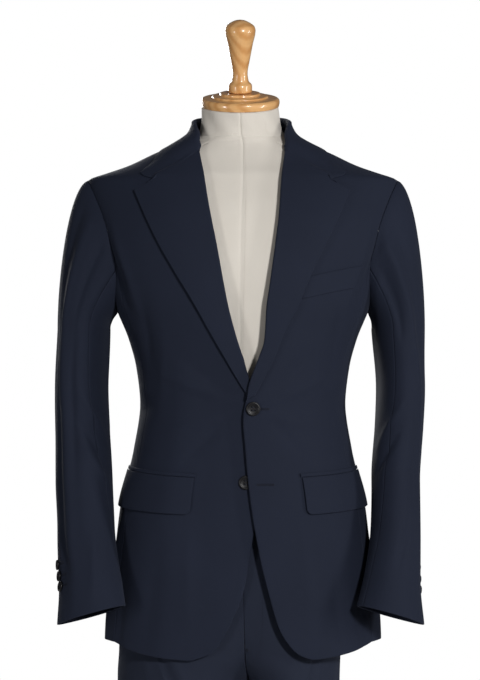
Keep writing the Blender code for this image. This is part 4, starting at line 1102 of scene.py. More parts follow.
def collar_half(side, share):
    """Angles, heights and lifts of half the collar, from the lapel's gorge edge to the back."""
    station = np.concatenate([np.linspace(5.0, COLLAR_CORNER, 16), np.linspace(COLLAR_CORNER, 0.0, 60)[1:]])
    grid = []
    for column in ("angle", "height"):
        foot, fold, edge = (collar_column(part + "_" + column, station) for part in ("foot", "fold", "edge"))
        up = fold[None, :] + (foot - fold)[None, :] * np.maximum(-share, 0.0)[:, None]
        grid.append(up + (edge - fold)[None, :] * np.maximum(share, 0.0)[:, None])
    angle, height = grid
    off_neck = COLLAR_OFF_NECK[side] * OFF_NECK_ROUND.at("part", station)[None, :]
    lift = COLLAR_LIFT.at("lift", share)[:, None] + OFF_NECK_FOLD.at("part", share)[:, None] * off_neck
    ends = lapel_top(side, np.maximum(share, 0.0))
    reach = np.array([1.0, 0.97, 0.8, 0.6, 0.4, 0.2])[None, :]
    joined = []
    for whole, end in zip((angle, height + 0.0, lift), (ends[0], ends[1] + GORGE_GAP, ends[2])):
        shift = (end - whole[:, 0]) * np.where(share < 0.0, 1.0 + share, 1.0)
        if whole is lift:
            shift = shift * np.clip(share / 0.10, 0.0, 1.0)
        joined.append(np.concatenate([whole[:, :1] + shift[:, None] * reach, whole], axis=1))
    return joined


def make_collar():
    """Folded collar: shares -1 to 0 climb the stand, and 0 to 1 go down the fall."""
    share = np.concatenate([evenly(-1.0, -0.14, 10, 0.02), np.linspace(-0.12, 0.12, 17),
                            evenly(1.0, 0.14, 16, 0.012)[::-1]])
    right, left = collar_half(RIGHT, share), collar_half(LEFT, share)
    angle = np.concatenate([360.0 - right[0], left[0][:, -2::-1]], axis=1)
    height = np.concatenate([right[1], left[1][:, -2::-1]], axis=1)
    lift = np.concatenate([right[2], left[2][:, -2::-1]], axis=1)
    sew("collar", jacket_point(angle, height, lift), COLLAR_WALL, (0, 0, 1.5))


make_collar()

# %% [markdown]
# ## Sleeves
#
# A tailored sleeve is two pieces, an upper and an under sleeve, bent a little at the elbow. Its head
# is longer than the armhole and eased in, so it leaves the shoulder outwards and then falls. Below
# the armhole the sleeve is a stack of tilted rings, and above it curves join the armhole to the
# first ring. The long soft ridges come from the way it hangs, and the short ones lie in the crook.

# %% Sleeve creases
SLEEVE_CREASES = {
    RIGHT: Table(CREASE_COLUMNS, [
        (58, 1.410, 55, 1.180, 0.0075, 0.0021),
        (62, 1.290, 61, 0.900, 0.0115, 0.0024),
        (41, 1.260, 40, 0.930, 0.0085, -0.0015),
        (84, 1.405, 80, 1.300, 0.0065, -0.0024),
        (80, 1.290, 78, 1.060, 0.0080, -0.0012),
        (106, 1.400, 101, 1.300, 0.0070, 0.0014),
        (40, 1.395, 36, 1.250, 0.0080, -0.0014),
        (22, 1.330, 14, 1.080, 0.0110, -0.0014),
        (96, 1.190, 150, 1.125, 0.0080, 0.0016),
        (92, 1.150, 140, 1.085, 0.0075, -0.0014),
        (100, 1.105, 158, 1.050, 0.0085, 0.0013),
        (-62, 1.180, -20, 1.105, 0.0100, 0.0013),
        (-100, 1.330, -84, 1.190, 0.0110, 0.0018),
        (-130, 1.300, -120, 1.120, 0.0100, -0.0015),
        (30, 1.010, 60, 0.930, 0.0100, -0.0012),
        (110, 0.990, 96, 0.905, 0.0090, 0.0012),
        (180, 1.330, 190, 1.150, 0.0100, 0.0016),
    ]),
    LEFT: Table(CREASE_COLUMNS, [
        (84, 1.405, 72, 1.290, 0.0075, 0.0022),
        (72, 1.310, 40, 1.090, 0.0085, 0.0021),
        (60, 1.395, 55, 1.260, 0.0075, -0.0015),
        (58, 1.230, 46, 1.060, 0.0075, -0.0012),
        (40, 1.110, 30, 0.930, 0.0090, 0.0014),
        (100, 1.380, 94, 1.270, 0.0075, -0.0020),
        (12, 1.340, 6, 1.120, 0.0110, -0.0013),
        (90, 1.180, 148, 1.110, 0.0085, 0.0014),
        (94, 1.135, 150, 1.070, 0.0080, -0.0015),
        (-58, 1.170, -14, 1.090, 0.0110, 0.0014),
        (-96, 1.320, -86, 1.170, 0.0120, 0.0016),
        (-128, 1.310, -122, 1.130, 0.0110, -0.0013),
        (62, 1.020, 84, 0.940, 0.0090, -0.0013),
        (184, 1.320, 192, 1.160, 0.0110, 0.0014),
    ]),
}

CROWN_REACH = {LEFT: 0.35, RIGHT: 0.38}
CROWN_FALL = 1.05
SLEEVE_TWIST = {LEFT: 0.45, RIGHT: 1.0}
SLEEVE_END = 7.0
SLEEVE_DEPTH = 2.3
SLEEVE_RADIUS = 0.045
CROWN_RISE = 0.120
CUFF_LEVEL_LENGTH = 0.055


def sleeve_ring(side, turn, level):
    """Point of a sleeve's tilted ring: 0 degrees of turn is outwards, 90 forwards."""
    turn = np.radians(turn)
    hang = SLEEVE_HANG[side]
    out = (SLEEVE.at("half_width", level) + hang.at("wider", level)) * np.cos(turn)
    forward = SLEEVE.at("half_depth", level) * np.sin(turn)
    x = side * (SLEEVE.at("out", level) + hang.at("shift", level) + out) + JACKET_AXIS * 0.5
    y = -(SLEEVE.at("forward", level) + forward)
    z = SLEEVE.at("height", level) + SLEEVE.at("tilt_out", level) * out
    z = z + SLEEVE.at("tilt_forward", level) * forward
    return np.stack(np.broadcast_arrays(x, y, z), axis=-1)


def smooth_sleeve(side, turn, level):
    """Sleeve without creases: below level 1 its rings, above it a cubic from the armhole."""
    turn, level = np.broadcast_arrays(np.asarray(turn, float), np.asarray(level, float))
    below = sleeve_ring(side, turn, np.maximum(level, 1.0))
    angle, height = armhole(turn)
    start = jacket_point(side * angle, height)
    start = start + np.array([side * ARMHOLE_SHOWN, 0.0, 0.0])
    end = sleeve_ring(side, turn, np.ones_like(level))
    span = np.linalg.norm(end - start, axis=-1, keepdims=True)
    share_up = (0.5 + 0.5 * np.cos(np.radians(turn)))[..., None]
    leave_up = np.array([side * 1.0, 0.0, -0.25])
    leave_down = np.array([side * 0.10, 0.0, -1.0])
    leave = leave_up * share_up + leave_down * (1.0 - share_up)
    arrive = np.array([0.0, 0.0, -1.0])
    t = np.clip(level, 0.0, 1.0)[..., None]
    crown = start * (1 + 2 * t) * (1 - t) ** 2 + end * t ** 2 * (3 - 2 * t)
    crown = crown + leave * span * CROWN_REACH[side] * t * (1 - t) ** 2
    crown = crown - arrive * span * CROWN_FALL * t ** 2 * (1 - t)
    return np.where(level[..., None] < 1.0, crown, below)


def sleeve_normal(side, turn, level):
    """Outward direction of the smooth sleeve, from its slopes around and along."""
    low = np.maximum(np.asarray(level, float) - 0.01, 0.0)
    around = smooth_sleeve(side, turn + 0.8, level) - smooth_sleeve(side, turn - 0.8, level)
    along = smooth_sleeve(side, turn, low) - smooth_sleeve(side, turn, low + 0.02)
    normal = np.cross(along, around) * side
    return normal / np.maximum(np.linalg.norm(normal, axis=-1, keepdims=True), 1e-12)


def sleeve_point(side, turn, level, lift=0.0):
    """Smooth sleeve moved out by its creases, which fade out at the armhole, and by the lift."""
    turn, level = np.broadcast_arrays(np.asarray(turn, float), np.asarray(level, float))
    below = SLEEVE.at("height", np.maximum(level, 1.0))
    height = np.where(level < 1.0, below + (1.0 - level) * CROWN_RISE, below)
    turned = (turn + 140.0) % 360.0 - 140.0
    rise = crease_rise(turned, height, SLEEVE_ARC, SLEEVE_CREASES[side]) * SLEEVE_DEPTH
    rise = rise * np.clip(level / 0.25, 0.0, 1.0) ** 2 + lift
    return smooth_sleeve(side, turn, level) + sleeve_normal(side, turn, level) * rise[..., None]


def sleeve_seams(side, level):
    """Turns of the back and front seams; towards the cuff the sleeve twists outwards."""
    level = np.maximum(np.asarray(level, float), 1.0)
    back = SLEEVE.at("back_seam", level)
    front = SLEEVE.at("front_seam", level)
    start_back = SLEEVE.values["back_seam"][0]
    start_front = SLEEVE.values["front_seam"][0]
    twist = SLEEVE_TWIST[side]
    return start_back + (back - start_back) * twist, start_front + (front - start_front) * twist


# %% Sleeves
def make_sleeve(side):
    """Upper and under sleeve between their two seams."""
    level = np.concatenate([[0.0, 0.012], np.linspace(0.05, 1.0, 34),
                            np.linspace(1.0, SLEEVE_END, 120)[1:-1], [6.985, SLEEVE_END]])[:, None]
    back, front = sleeve_seams(side, level)
    shift = np.degrees(0.5 * SEAM_GAP / SLEEVE_RADIUS)
    name = SIDE_NAMES[side]
    spans = {"upper_sleeve_": (back + shift, front - back - 2 * shift, 52),
             "under_sleeve_": (front + shift, 360.0 + back - front - 2 * shift, 44)}
    for piece, (start, span, count) in spans.items():
        turn = start + span * evenly(0.0, 1.0, count, 0.012)[None, :]
        points = sleeve_point(side, turn, level)
        inside = (side * 0.222, 0.0, 1.15)
        sew(piece + name, points, JACKET_WALL, inside, dip=0.04)


make_sleeve(LEFT)
make_sleeve(RIGHT)

# %% [markdown]
# ## Pockets
#
# The hip pockets have flaps that hang from a narrow jetting, and the breast pocket a slanted welt.
# Each lies on the front's own points moved out, so it bends with the cloth. The flap's front corner
# is rounded, because a square one would curl.

# %% Flaps, jets and welt
FLAP_CORNER = 0.008
FLAP_LENGTH = 0.165
FLAP_LIFT = 0.0030
JET_OFFSET = 0.8
JET_STEP = 0.0008


def make_flap(side):
    """Flap and jetting: grids in angle and height, with the corner's curve taken off the bottom. The
    flap stands off more towards its lower edge, in a slow wave."""
    name = SIDE_NAMES[side]
    across = evenly(0.0, 1.0, 56, 0.005)[None, :]
    down = evenly(0.0, 1.0, 18, 0.02)[:, None]
    angle = FLAP_START[side] + (FLAP_END - FLAP_START[side]) * across
    rise_outwards = FLAP_SLOPE * across
    run = np.clip(across * FLAP_LENGTH / FLAP_CORNER, 0.0, 1.0)
    corner = FLAP_CORNER * (1.0 - np.sqrt(np.clip(1.0 - (1.0 - run) ** 2, 0.0, 1.0)))
    height = FLAP_TOP + rise_outwards - (FLAP_DROP - corner) * (1.0 - down)
    lift = FLAP_LIFT + 0.0012 * (1.0 - down) + 0.0006 * np.sin(math.pi * 3.0 * across) * (1.0 - down)
    points = front_point(side, side * angle + 0 * height, height, lift)
    sew("flap_" + name, points, TRIM_WALL, (0, 0, 1.05))
    rise = evenly(0.0, 1.0, 5, 0.10)[:, None]
    jet_angle = angle - JET_OFFSET
    jet_height = FLAP_TOP + rise_outwards + JET_STEP + JET_HEIGHT * rise
    rounded = 0.0004 * np.sin(math.pi * rise) + 0 * jet_height
    jet = front_point(side, side * jet_angle + 0 * jet_height, jet_height, TRIM_WALL + TRIM_SEAT + rounded)
    sew("jet_" + name, jet, TRIM_WALL, (0, 0, 1.05))


def make_welt():
    """Slanted welt of the breast pocket on the left front."""
    across = evenly(0.0, 1.0, 36, 0.01)[None, :]
    rise = evenly(0.0, 1.0, 14, 0.03)[:, None]
    x = WELT_START + WELT_WIDTH * across + WELT_LEAN * rise
    height = WELT_BOTTOM + WELT_SLOPE * across + WELT_HEIGHT * rise
    points = front_point(LEFT, angle_at(x, height), height, np.full(height.shape, TRIM_WALL + TRIM_SEAT))
    sew("breast_welt", points, TRIM_WALL, (0, 0, 1.3))


make_flap(LEFT)
make_flap(RIGHT)
make_welt()

# %% [markdown]
# ## Trousers
#
# Each leg is a front and a back panel. At the hip a panel spans a quarter turn, and below the fork
# half a turn round its own leg. The pressed crease is a sharp low ridge down the middle of each
# panel. It fades out near the hip, where a real one ends too.

# %% Trousers
TROUSER_CREASES = {
    RIGHT: Table(CREASE_COLUMNS, [
        (98, 0.780, 91, 0.880, 0.008, -0.0032),
        (109, 0.760, 104, 0.870, 0.010, 0.0024),
        (74, 0.770, 72, 0.850, 0.010, 0.0016),
        (42, 0.080, 47, 0.640, 0.020, 0.0030),
        (128, 0.060, 118, 0.560, 0.018, 0.0028),
        (24, 0.300, 30, 0.800, 0.016, -0.0022),
        (66, 0.440, 116, 0.470, 0.013, 0.0016),
        (60, 0.410, 108, 0.425, 0.012, -0.0012),
        (222, 0.080, 226, 0.600, 0.019, 0.0029),
        (312, 0.060, 305, 0.520, 0.021, 0.0031),
        (238, 0.700, 292, 0.742, 0.014, -0.0024),
        (232, 0.660, 284, 0.690, 0.013, 0.0018),
        (120, 0.690, 160, 0.760, 0.011, 0.0017),
    ]),
    LEFT: Table(CREASE_COLUMNS, [
        (84, 0.775, 88, 0.870, 0.009, -0.0026),
        (70, 0.765, 76, 0.860, 0.010, 0.0020),
        (38, 0.060, 42, 0.600, 0.019, 0.0027),
        (133, 0.090, 124, 0.620, 0.020, 0.0031),
        (28, 0.320, 24, 0.830, 0.015, -0.0024),
        (64, 0.470, 112, 0.440, 0.013, 0.0015),
        (70, 0.500, 118, 0.480, 0.012, -0.0012),
        (228, 0.070, 220, 0.560, 0.018, 0.0026),
        (308, 0.080, 314, 0.600, 0.020, 0.0033),
        (236, 0.735, 290, 0.700, 0.014, -0.0022),
        (240, 0.690, 288, 0.655, 0.012, 0.0019),
        (122, 0.700, 158, 0.752, 0.011, 0.0015),
    ]),
}
PRESS_HEIGHT = 0.0034
PRESS_WIDTH = 0.0050
PRESS_TOP = 0.90
PRESS_FADE = 0.14
PANEL_WIDTH = 0.20
LEG_PARTING = 0.0065


def leg_parting(height):
    """Half the gap between the two legs below the fork."""
    return LEG_PARTING * np.clip((FORK_HEIGHT - np.asarray(height)) / 0.7, 0.0, 1.0)


def inner_edge(side, height):
    """Where a leg's inner edge runs: both legs' edges lie a seam gap from one line."""
    line = 0.5 * (TROUSER.at("left_inner", height) - TROUSER.at("right_inner", height))
    return line + side * 0.5 * SEAM_GAP + side * leg_parting(height)


def trouser_point(side, front, share, height):
    """Point of a trouser panel: share 0 is the side seam, 1 the centre seam or the inseam. A ring
    spans a quarter turn at the hip and half a turn round a leg, about the centre that this gives."""
    outer = side * TROUSER.at(SIDE_NAMES[side] + "_outer", height)
    wrap = np.radians(TROUSER.at("wrap", height))
    ending = np.cos(wrap)
    centre = (inner_edge(side, height) - outer * ending) / (1.0 - ending)
    turn = wrap * share
    x = centre + (outer - centre) * np.cos(turn)
    depth = TROUSER.at("front_depth", height) if front else -TROUSER.at("back_depth", height)
    y = -depth * np.sin(turn)
    return np.stack(np.broadcast_arrays(x, y, height), axis=-1)


def pressed_point(side, front, share, height, lift=0.0):
    """Trouser point moved out by the creases, the pressed edge and the lift."""
    share, height = np.broadcast_arrays(np.asarray(share, float), np.asarray(height, float))
    turn = 180.0 * share if front else 360.0 - 180.0 * share
    rise = crease_rise(turn, height, LEG_ARC, TROUSER_CREASES[side])
    fades = np.clip((PRESS_TOP - height) / PRESS_FADE, 0.0, 1.0)
    edge = np.exp(-np.abs(share - 0.5) * PANEL_WIDTH / PRESS_WIDTH) * PRESS_HEIGHT
    at_seam = np.clip(np.minimum(share, 1.0 - share) / 0.06, 0.0, 1.0)
    rise = rise * at_seam + edge * fades + lift
    step = 0.002
    inward = trouser_point(side, front, np.clip(share - step, 0.0, 1.0), height)
    around = trouser_point(side, front, np.clip(share + step, 0.0, 1.0), height) - inward
    up = np.array([0.0, 0.0, 1.0])
    normal = np.cross(around, up) * (side if front else -side) * -1.0
    normal = normal / np.maximum(np.linalg.norm(normal, axis=-1, keepdims=True), 1e-12)
    return trouser_point(side, front, share, height) + normal * rise[..., None]


def make_trouser(side, front):
    """One trouser panel from the hem to the waist seam."""
    height = np.concatenate([[TROUSER_HEM, 0.0465], np.linspace(0.052, 1.034, 170),
                             [1.0385, WAIST_SEAM]])[:, None]
    middle = np.concatenate([evenly(0.0, 0.48, 27, 0.008), np.linspace(0.485, 0.515, 7),
                             evenly(1.0, 0.52, 27, 0.008)[::-1]])
    share = SIDE_SEAM_SHARE + (1.0 - SIDE_SEAM_SHARE) * middle[None, :]
    in_leg = np.clip((FORK_HEIGHT + 0.02 - height) / 0.02, 0.0, 1.0)
    points = pressed_point(side, front, share * (1.0 - CROTCH_SHARE * in_leg), height)
    node = "trouser_%s_%s" % ("front" if front else "back", SIDE_NAMES[side])
    sew(node, points, TROUSER_WALL, (side * 0.075, 0.0, 0.6),
        material=NAVY_TROUSER)


for side in (LEFT, RIGHT):
    for front in (True, False):
        make_trouser(side, front)


def make_waistband():
    """Closed band on the form's waist, meeting at the front."""
    angle = evenly(0.5, 359.5, 150, 0.001)[None, :]
    height = evenly(WAISTBAND_TOP - WAISTBAND_HEIGHT + SEAM_GAP, WAISTBAND_TOP, 12, 0.03)[:, None]
    points = ring_point(0.0, angle + 0 * height, height + 0 * angle, WAIST_HALF_WIDTH, WAIST_FRONT,
                        WAIST_BACK, 2.0)
    sew("waistband", points, TROUSER_WALL, (0, 0.05, 1.05), material=NAVY_TROUSER)


make_waistband()

# %% [markdown]
# ## Turned pieces and the form
#
# Buttons, the wooden cap and knob and the stand's base are turned on a lathe, so each is a profile
# carried round an axis. A button's four holes are dimples in that surface. The form is a stack of
# rings like the jacket, closed at both ends, with the stitched seams that its linen cover has.

# %% Lathe and buttons
def round_faces(rows, columns):
    """Quads between rings of points, joined round."""
    start = (np.arange(rows - 1)[:, None] * columns + np.arange(columns)[None, :]).ravel()
    turn = (np.arange(rows - 1)[:, None] * columns + (np.arange(columns)[None, :] + 1) % columns).ravel()
    return np.stack([start, turn, turn + columns, start + columns], axis=1)


def profile_path(profile, step):
    """Points along a profile, no further apart than the step, corners kept."""
    profile = np.asarray(profile, float)
    length = np.concatenate([[0.0], np.cumsum(np.linalg.norm(np.diff(profile, axis=0), axis=1))])
    places = [np.linspace(a, b, max(2, int(math.ceil((b - a) / step)) + 1))[:-1]
              for a, b in zip(length[:-1], length[1:])]
    places = np.concatenate(places + [[length[-1]]])
    return np.stack([np.interp(places, length, profile[:, k]) for k in (0, 1)], axis=1), places


def turned_mesh(name, profile, step, columns, material, place, tilt=None, soften=0, dimple=None):
    """Profile (radius, height), bottom to top, carried round the axis, then put in place. Softening
    averages each point with its neighbours, and a dimple function lowers points by (x, y)."""
    path, places = profile_path(profile, step)
    for _ in range(soften):
        path[1:-1] = 0.5 * path[1:-1] + 0.25 * (path[:-2] + path[2:])
    path[0, 0] = path[-1, 0] = 1e-5
    turn = np.linspace(0.0, 2.0 * math.pi, columns, endpoint=False)[None, :]
    x = path[:, :1] * np.cos(turn)
    y = path[:, :1] * np.sin(turn)
    z = np.broadcast_to(path[:, 1:2], x.shape).copy()
    if dimple is not None:
        z -= dimple(x, y) * (places[:, None] > 0.5 * places[-1])
    points = np.stack([x, y, z], axis=-1).reshape(-1, 3)
    axis = np.eye(3) if tilt is None else tilt
    points = points @ axis.T + np.asarray(place)
    u = np.broadcast_to(turn / (2.0 * math.pi), x.shape)
    v = np.broadcast_to(places[:, None], x.shape)
    uv = np.stack([u, v], -1).reshape(-1, 2)
    quads = round_faces(len(path), columns)
    return fill_mesh(name, points, quads, uv, [material])


def facing(normal):
    """Axes whose third column is the given direction."""
    normal = np.asarray(normal, float) / np.linalg.norm(normal)
    side_way = np.cross([0.0, 0.0, 1.0], normal)
    side_way = side_way / np.linalg.norm(side_way)
    return np.stack([side_way, np.cross(normal, side_way), normal], axis=1)


def four_holes(reach, radius, depth):
    """Dimple of a button: four round holes at the corners of a square."""
    def lowered(x, y):
        distance = np.hypot(np.abs(x) - reach, np.abs(y) - reach)
        return depth * np.clip(1.6 * (1.0 - distance / radius), 0.0, 1.0)
    return lowered


def rounded_button(radius, thickness):
    """Profile of a button from the middle of its back to the middle of its dished front."""
    return [(0.0, 0.0), (0.84 * radius, 0.0), (0.97 * radius, 0.22 * thickness), (radius, 0.55 * thickness),
            (0.96 * radius, 0.88 * thickness), (0.86 * radius, thickness), (0.75 * radius, 0.97 * thickness),
            (0.66 * radius, 0.80 * thickness), (0.40 * radius, 0.72 * thickness), (0.0, 0.70 * thickness)]


def rods(name, ends, radius, material, sides=8):
    """Short rods with rounded ends between pairs of points: rings at seven places along each one."""
    ends = np.asarray(ends, float)
    start, end = ends[:, 0], ends[:, 1]
    way = end - start
    way = way / np.linalg.norm(way, axis=1, keepdims=True)
    helper = np.where(np.abs(way[:, 2:3]) < 0.9, [[0.0, 0.0, 1.0]], [[1.0, 0.0, 0.0]])
    first = np.cross(way, helper)
    first = first / np.linalg.norm(first, axis=1, keepdims=True)
    second = np.cross(way, first)
    shares = np.array([0.0, 0.06, 0.22, 0.5, 0.78, 0.94, 1.0])
    girth = radius * np.array([0.03, 0.62, 0.95, 1.0, 0.95, 0.62, 0.03])
    turn = np.linspace(0.0, 2.0 * math.pi, sides, endpoint=False)
    centre = start[:, None, :] + (end - start)[:, None, :] * shares[None, :, None]
    cosine, sine = np.cos(turn)[None, :, None], np.sin(turn)[None, :, None]
    around = first[:, None, :] * cosine + second[:, None, :] * sine
    points = centre[:, :, None, :] + around[:, None, :, :] * girth[None, :, None, None]
    one = round_faces(len(shares), sides)
    count = len(shares) * sides
    quads = (one[None, :, :] + np.arange(len(ends))[:, None, None] * count).reshape(-1, 4)
    vertices = points.reshape(-1, 3)
    uv = vertices[:, [0, 2]]
    return fill_mesh(name, vertices, quads, uv, [material])


BAR_SPACING = 0.00028
BAR_RADIUS = 0.00024


def make_button(node, seat, normal, radius, thickness):
    """Dished button with four holes, and two bars of three threads through them."""
    axes = facing(normal)
    reach, hole = 0.17 * radius + 0.0006, 0.00105 if radius > 0.009 else 0.0008
    body = turned_mesh(node + "_horn", rounded_button(radius, thickness), 0.00035, 56, HORN, seat, axes,
                       soften=3, dimple=four_holes(reach, hole, 0.6 * thickness))
    keep(body, node)
    top = 0.72 * thickness + 0.00025
    ends = []
    for row in (-1, 1):
        for offset in (-BAR_SPACING, 0.0, BAR_SPACING):
            low = np.array([-reach, row * reach + offset, top])
            high = np.array([reach, row * reach + offset, top])
            ends.append([low @ axes.T + seat, high @ axes.T + seat])
    keep(rods(node + "_thread", ends, BAR_RADIUS, THREAD), None)


for name, side, (x, height) in (("front_button_upper", LEFT, UPPER_BUTTON),
                                ("front_button_lower", RIGHT, LOWER_BUTTON)):
    angle = angle_at(x, height)
    seat = front_point(side, angle, height, BUTTON_SEAT)
    normal = jacket_normal(angle, np.asarray(height))
    make_button(name, seat, normal, FRONT_BUTTON_RADIUS, FRONT_BUTTON_THICKNESS)

for side in (LEFT, RIGHT):
    for index, level in enumerate(CUFF_BUTTON_LEVELS):
        turn = float(sleeve_seams(side, level)[0]) + CUFF_BUTTON_TURN
        seat = sleeve_point(side, turn, level, CUFF_BUTTON_LIFT[side])
        normal = sleeve_normal(side, turn, level)
        make_button("cuff_button_%s_%d" % (SIDE_NAMES[side], index + 1), seat, normal, CUFF_BUTTON_RADIUS,
                    CUFF_BUTTON_THICKNESS)
print("pieces so far:", len(PIECES))

# %% [markdown]
# Buttonholes are cut and bound with thread: a row of small stitches along both sides of a slit and a
# fan of them round its outer end. Each stitch is a short rod, so one mesh holds a whole buttonhole.

# %% Buttonholes and stitches
HOLE_LENGTH = 0.0205
CUFF_HOLE_LENGTH = 0.0125
CUFF_HOLE_START = 4.0
HOLE_PITCH = 0.00055
SLIT_HALF = 0.00035
BITE = 0.00150
HOLE_THREAD = 0.00030
STITCH_LIFT = 0.0001


def buttonhole(name, place, length):
    """Stitches across both sides of a slit, a fan of them round its outer end and a bar across the
    other one: place(s, t, lift) gives the cloth's point s along and t across, moved out by the lift."""
    count = int(length / HOLE_PITCH)
    s = np.linspace(0.0, length, count)
    rows = [(place(s, np.full(count, t * SLIT_HALF), 0.00020), place(s, np.full(count, t * BITE), 0.00005))
            for t in (-1, 1)]
    fan = np.radians(np.linspace(-90.0, 90.0, 11))
    rows.append([place(length + reach * np.cos(fan), reach * np.sin(fan), lift)
                 for reach, lift in ((0.0004, 0.0002), (0.0017, 0.00005))])
    back = np.full(5, -0.0004) - np.arange(5) * 0.00035
    rows.append([place(back, np.full(5, t), 0.0001) for t in (-0.0014, 0.0014)])
    ends = np.concatenate([np.stack(row, axis=1) for row in rows])
    keep(rods(name, ends, HOLE_THREAD, THREAD, sides=6), None)


def on_left_front(x0, height0):
    """Place function of a level buttonhole on the left front, from a starting x and height."""
    def place(s, t, lift):
        height = height0 + t
        return front_point(LEFT, angle_at(x0 + s, height), height, lift)
    return place


buttonhole("buttonhole_upper", on_left_front(0.0185, 1.1745), HOLE_LENGTH)
buttonhole("buttonhole_lower", on_left_front(0.0255, 1.0700), HOLE_LENGTH)


def on_cuff(side, level):
    """Place function of a cuff's buttonhole: along the sleeve's turn, from the button forwards."""
    turn0 = float(sleeve_seams(side, level)[0]) + CUFF_BUTTON_TURN

    def place(s, t, lift):
        turn = turn0 + CUFF_HOLE_START + np.degrees(s / SLEEVE_RADIUS)
        return sleeve_point(side, turn, level + t / CUFF_LEVEL_LENGTH, lift)
    return place


for side in (LEFT, RIGHT):
    for index, level in enumerate(CUFF_BUTTON_LEVELS):
        name = "cuff_buttonhole_%s_%d" % (SIDE_NAMES[side], index + 1)
        buttonhole(name, on_cuff(side, level), CUFF_HOLE_LENGTH)


def running_stitches(name, line, lift_point, pitch, length, radius, material):
    """Stitches of one length at one pitch along a line of (first, second) surface coordinates."""
    fine = np.linspace(0.0, 1.0, 800)
    keys = np.linspace(0.0, 1.0, len(line))
    first, second = (np.interp(fine, keys, [row[k] for row in line]) for k in (0, 1))
    path = lift_point(first, second)
    walked = np.concatenate([[0.0], np.cumsum(np.linalg.norm(np.diff(path, axis=0), axis=1))])
    starts = np.arange(0.0, walked[-1] - length, pitch)
    ends = np.stack([np.stack([np.interp(starts + add, walked, path[:, k]) for k in range(3)], axis=1)
                     for add in (0.0, length)], axis=1)
    made = rods(name, ends, radius, material, sides=6)
    keep(made, None)


def fly_place(share, height):
    """Point of the left front trouser panel, just above its cloth."""
    return pressed_point(LEFT, True, share, height, STITCH_LIFT)


J_STITCH = [(0.885, 1.030), (0.885, 0.990), (0.885, 0.950), (0.886, 0.910), (0.888, 0.870), (0.894, 0.845),
            (0.910, 0.828), (0.935, 0.818), (0.965, 0.812), (0.992, 0.810)]
running_stitches("fly_stitches", J_STITCH, fly_place, 0.0026, 0.0019, 0.00022, THREAD)
bartack = [(0.980, 0.8365 + 0.0005 * k) for k in range(9)]
ends = [[fly_place(0.975, h), fly_place(0.992, h)] for _, h in bartack]
keep(rods("fly_bartack", ends, 0.0003, THREAD, sides=6), None)
print("pieces so far:", len(PIECES))

# %% [markdown]
# ## The dress form and its stand
#
# The form's linen is stretched over a hard body: smooth, with a centre front seam, two princess
# seams a side, and a seam round the base of the neck. A seam is a shallow groove in the surface, and
# the centre front and front princess seams have a row of small stitches beside them.

# %% Dress form
SEAM_ANGLES = (0.0, 38.0, -38.0, 90.0, -90.0, 142.0, -142.0, 180.0)
NECK_SEAM = 1.5640
GROOVE_WIDTH = 0.0009
NECK_GROOVE = 0.0010
GROOVE_DEPTH = 0.0007
FOLD_DEPTH = 0.0006
SMOOTHINGS = 45


def form_point(level, angle, lift=0.0):
    """Point of the form: a ring of its table, leaning back near the neck, moved out by the lift."""
    level, angle = np.broadcast_arrays(np.asarray(level, float), np.asarray(angle, float))
    height = FORM.at("height", level)
    points = ring_point(0.0, angle, height, FORM.at("half_width", level) + lift,
                        FORM.at("front_depth", level) + lift, FORM.at("back_depth", level) + lift,
                        FORM.at("squareness", level))
    points[..., 0] += FORM.at("shift", level)
    points[..., 2] += FORM.at("lean", level) * points[..., 1]
    return points


def make_form():
    """Closed torso and neck. Each seam lowers it by a groove of the shape exp(-(distance / width)^2),
    and the neck's linen has faint upright folds that fade out below level 16."""
    level = np.concatenate([np.linspace(0.0, 12.0, 110)[:-1], np.linspace(12.0, 19.0, 90)])[:, None]
    by_seams = np.add.outer(SEAM_ANGLES[:-1], (-0.35, -0.12, 0.12, 0.35)).ravel()
    angle = np.concatenate([np.linspace(-180.0, 180.0, 216)[:-1], by_seams])
    angle = np.unique(np.round(angle, 4))[None, :]
    radius = 0.5 * (FORM.at("half_width", level) + FORM.at("front_depth", level))
    groove = np.zeros(np.broadcast_shapes(level.shape, angle.shape))
    below_neck = np.clip((16.6 - level) / 0.3, 0.0, 1.0)
    for seam in SEAM_ANGLES:
        apart = np.abs((angle - seam + 180.0) % 360.0 - 180.0)
        reach = 1.0 if seam in (0.0, 180.0) else below_neck
        groove = groove + reach * np.exp(-(np.radians(apart) * radius / GROOVE_WIDTH) ** 2)
    neck = np.exp(-((FORM.at("height", level) - NECK_SEAM) / NECK_GROOVE) ** 2)
    folds = FOLD_DEPTH * np.sin(np.radians(angle) * 9.0 + 2.0 * np.sin(level * 1.7))
    folds = folds * np.clip((level - 16.0) / 2.0, 0.0, 1.0)
    points = form_point(level, angle)
    for _ in range(SMOOTHINGS):
        points[1:-1] = 0.5 * points[1:-1] + 0.25 * (points[:-2] + points[2:])
    outward = grid_normals(points)
    outward = outward * np.sign((outward[..., :2] * points[..., :2]).sum(axis=-1, keepdims=True))
    points = points + outward * (folds - GROOVE_DEPTH * np.clip(groove + neck, 0.0, 1.0))[..., None]
    rows, columns = points.shape[:2]
    low, high = points[0].mean(axis=0), points[-1].mean(axis=0)
    shrink = np.array([0.0001, 0.5, 0.9])[:, None, None]
    under = low + (points[0] - low)[None] * shrink
    over = high + (points[-1] - high)[None] * shrink[::-1]
    whole = np.concatenate([under, points, over])
    u = arc_lengths(np.concatenate([whole, whole[:, :1]], axis=1), 1)[:, :-1]
    uv = np.stack([u, arc_lengths(whole, 0)], -1).reshape(-1, 2)
    made = fill_mesh("form_linen_torso", whole.reshape(-1, 3), round_faces(rows + 6, columns), uv, [LINEN])
    keep(made, "form_torso")
    print(made.name, "rings", rows, "points a ring", columns)


make_form()


